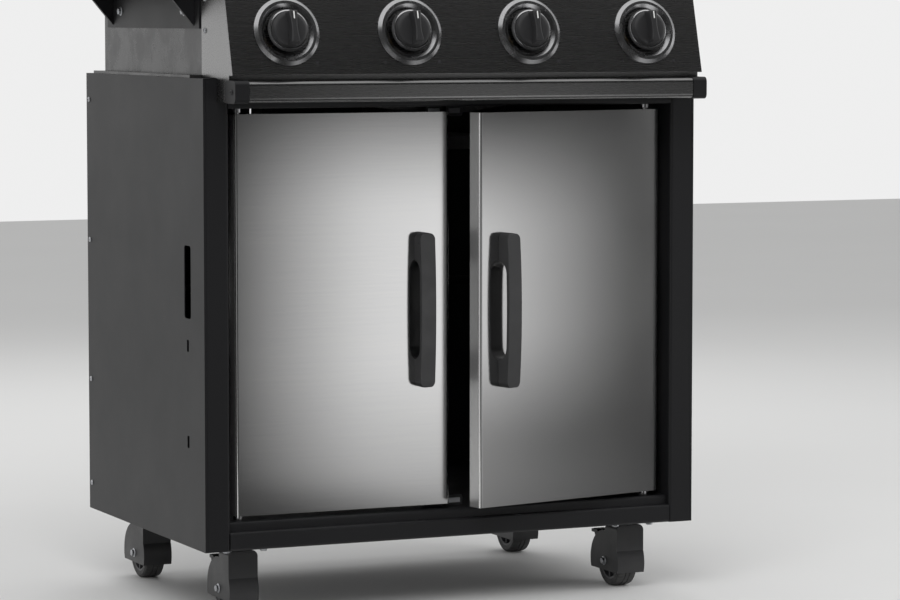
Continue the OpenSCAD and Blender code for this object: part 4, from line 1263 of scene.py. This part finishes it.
@dataclass
class Sheet:
    """A feathered sheet between two corners, which hangs or lies. Only polished metal sees it."""

    name: str
    low: Point
    high: Point
    share: Callable[[Tap, Tap], Tap]

    def hang(self) -> None:
        """Hang or lay it."""
        deselect()
        bpy.ops.mesh.primitive_plane_add(size=1)
        sheet = bpy.context.object
        sheet.name = self.name
        width, depth, height = (b - a for a, b in zip(self.low, self.high))
        sheet.location = [(a + b) / 2 for a, b in zip(self.low, self.high)]
        sheet.rotation_euler = (math.pi / 2 if height else 0, 0, 0)
        sheet.scale = (width, height or depth, 1)
        bpy.ops.object.transform_apply(location=True, rotation=True, scale=True)
        paint = Glow(self.name, (0.02, 0.02, 0.02), 0.9, self.share, "Z" if height else "Y")
        sheet.data.materials.append(paint.material)
        for ray in ("camera", "diffuse", "transmission", "volume_scatter", "shadow"):
            setattr(sheet, f"visible_{ray}", False)


@dataclass
class Studio:
    """Pale floor, soft lamps, a plain bright background and feathered sheets that only metal sees."""

    pale: float = 0.86
    ambient: float = 0.70
    floor_half: float = 9.0
    floor_colour: Point = (0.74, 0.74, 0.735)

    def floor(self) -> None:
        """Lay the floor."""
        deselect()
        bpy.ops.mesh.primitive_grid_add(x_subdivisions=4, y_subdivisions=4, size=2 * self.floor_half)
        floor = bpy.context.object
        floor.name = "studio_floor"
        floor.data.materials.append(FloorPaint("studio_floor", self.floor_colour, 0.75).material)

    def world(self) -> None:
        """Light from all round, and the background that the camera, metal and glass see."""
        world = bpy.data.worlds.new("studio")
        bpy.context.scene.world = world
        world.use_nodes = True
        desk = NodeDesk()
        desk.open(world.node_tree)
        camera, metal, glass = (
            desk.add("ShaderNodeLightPath", {}, {}, f"Is {ray} Ray") for ray in ("Camera", "Glossy", "Transmission")
        )
        soft = desk.add("ShaderNodeBackground", {}, {1: self.ambient})
        shown = desk.add("ShaderNodeBackground", {}, {0: (self.pale, self.pale, self.pale, 1)})
        mix = desk.add("ShaderNodeMixShader", {}, {0: (camera + metal + glass).clamp(), 1: soft, 2: shown})
        desk.end("ShaderNodeOutputWorld", mix)

    def build(self) -> None:
        """Set the studio up."""
        self.floor()
        self.world()
        Lamp("key", (-1.6, -2.6, 3), (0, 0, 0.5), (2.6, 2), 72).hang()
        Lamp("fill", (2.8, -1.6, 1.9), (0, 0, 0.5), (2, 2.2), 30).hang()
        Lamp("back", (0.6, 2.8, 2.6), (0, 0, 0.6), (2.6, 1.4), 34).hang()
        Sheet("front_sheet", (-2.6, -1.6, 0), (2.25, -1.6, 2.2), self.feathered).hang()
        Sheet("floor_sheet", (-0.5, -1.6, 0.003), (3, -0.4, 0.003), self.fading).hang()

    @staticmethod
    def rise(value: Tap, start: float, end: float) -> Tap:
        """Return 0 below start, 1 above end and a straight rise between them."""
        return ((value - start) * (1 / (end - start))).clamp()

    @classmethod
    def wide(cls, x: Tap) -> Tap:
        """Return how bright the sheets are across, with a dimmer stretch that only the lip sees.

        Args:
            x: The place across.

        Returns:
            The light's share.
        """
        far = 0.24 * (1 - cls.rise(x, -1.2, -0.5))
        left = 0.88 * cls.rise(x, 0.17, 0.46) + 0.12 * cls.rise(x, 0.46, 0.62)
        dip = 0.85 * (cls.rise(x, 0.72, 1.05) - cls.rise(x, 1.15, 1.40))
        return far + left * (1 - dip) * (1 - cls.rise(x, 1.43, 2.05))

    @classmethod
    def foot(cls, x: Tap) -> Tap:
        """Return how bright the sheets are where they meet at the floor."""
        return 0.62 - 0.34 * cls.rise(x, 0.6, 1.5)

    @classmethod
    def feathered(cls, x: Tap, z: Tap) -> Tap:
        """Return the front sheet's light, bright in the middle and dark to the sides and the top.

        Args:
            x: The place across.
            z: The height.

        Returns:
            The light's share.
        """
        foot = cls.foot(x)
        top = cls.rise(z + 0.07 * cls.rise(x, 0.6, 1.5), 0.50, 0.72)
        return cls.wide(x) * (foot + (1 - foot) * cls.rise(z, 0, 0.2)) * (1 - top)

    @classmethod
    def fading(cls, x: Tap, y: Tap) -> Tap:
        """Return the floor sheet's light, which fades towards the cart."""
        right = cls.rise(x + 0.9 * (y + 1.6), 1.36, 1.95)
        return cls.rise(x, 0.17, 0.46) * cls.foot(x) * (1 - right) * (1 - cls.rise(y, -1.6, -0.6))


@dataclass
class View:
    """The camera, out to the front left and a little above the doors' middle."""

    azimuth: float = 24.4
    pitch: float = 4.7
    distance: float = 5.0009
    lens: float = 140.4
    sensor: float = 36.0
    aim: Point = (-0.0027, -0.19274, 0.442)

    def build(self) -> None:
        """Stand the camera."""
        aside, tip = math.radians(self.azimuth), math.radians(self.pitch)
        way = Vector((math.sin(aside) * math.cos(tip), math.cos(aside) * math.cos(tip), -math.sin(tip)))
        data = bpy.data.cameras.new("view")
        data.lens = self.lens
        data.sensor_width = self.sensor
        data.dof.use_dof = False
        camera = bpy.data.objects.new("view", data)
        camera.matrix_world = aimed(Vector(self.aim) - way * self.distance, way)
        scene = bpy.context.scene
        scene.collection.objects.link(camera)
        scene.camera = camera
        scene.view_settings.view_transform = "Standard"


# ---- The whole grill ----


def main() -> None:
    """Dress the grill."""
    View().build()
    Studio().build()
    LOG.info("studio and camera are up")
    LOG.info("coated %d nodes", Finish.coat_nodes())
    fasteners = Fasteners()
    for side in ("left", "right"):
        Door(side, fasteners.screw, fasteners.bolt).dress()
        LOG.info("%s door is dressed", side)
    for number in KNOBS:
        ControlKnob(number).build()
        PanelMarks(number).build()
    LOG.info("knobs and marks are on")
    Catches().build()
    Thermometer().build()
    LidFittings().build()
    LOG.info("lid is fitted")
    Grates().build()
    Casters(fasteners.bolt).build()
    fasteners.rows()
    for pattern in [body for body in bpy.data.objects if body.name.startswith("pattern")]:
        bpy.data.objects.remove(pattern)
    LOG.info("grates, casters and fasteners are in")


if __name__ == "__main__":
    main()
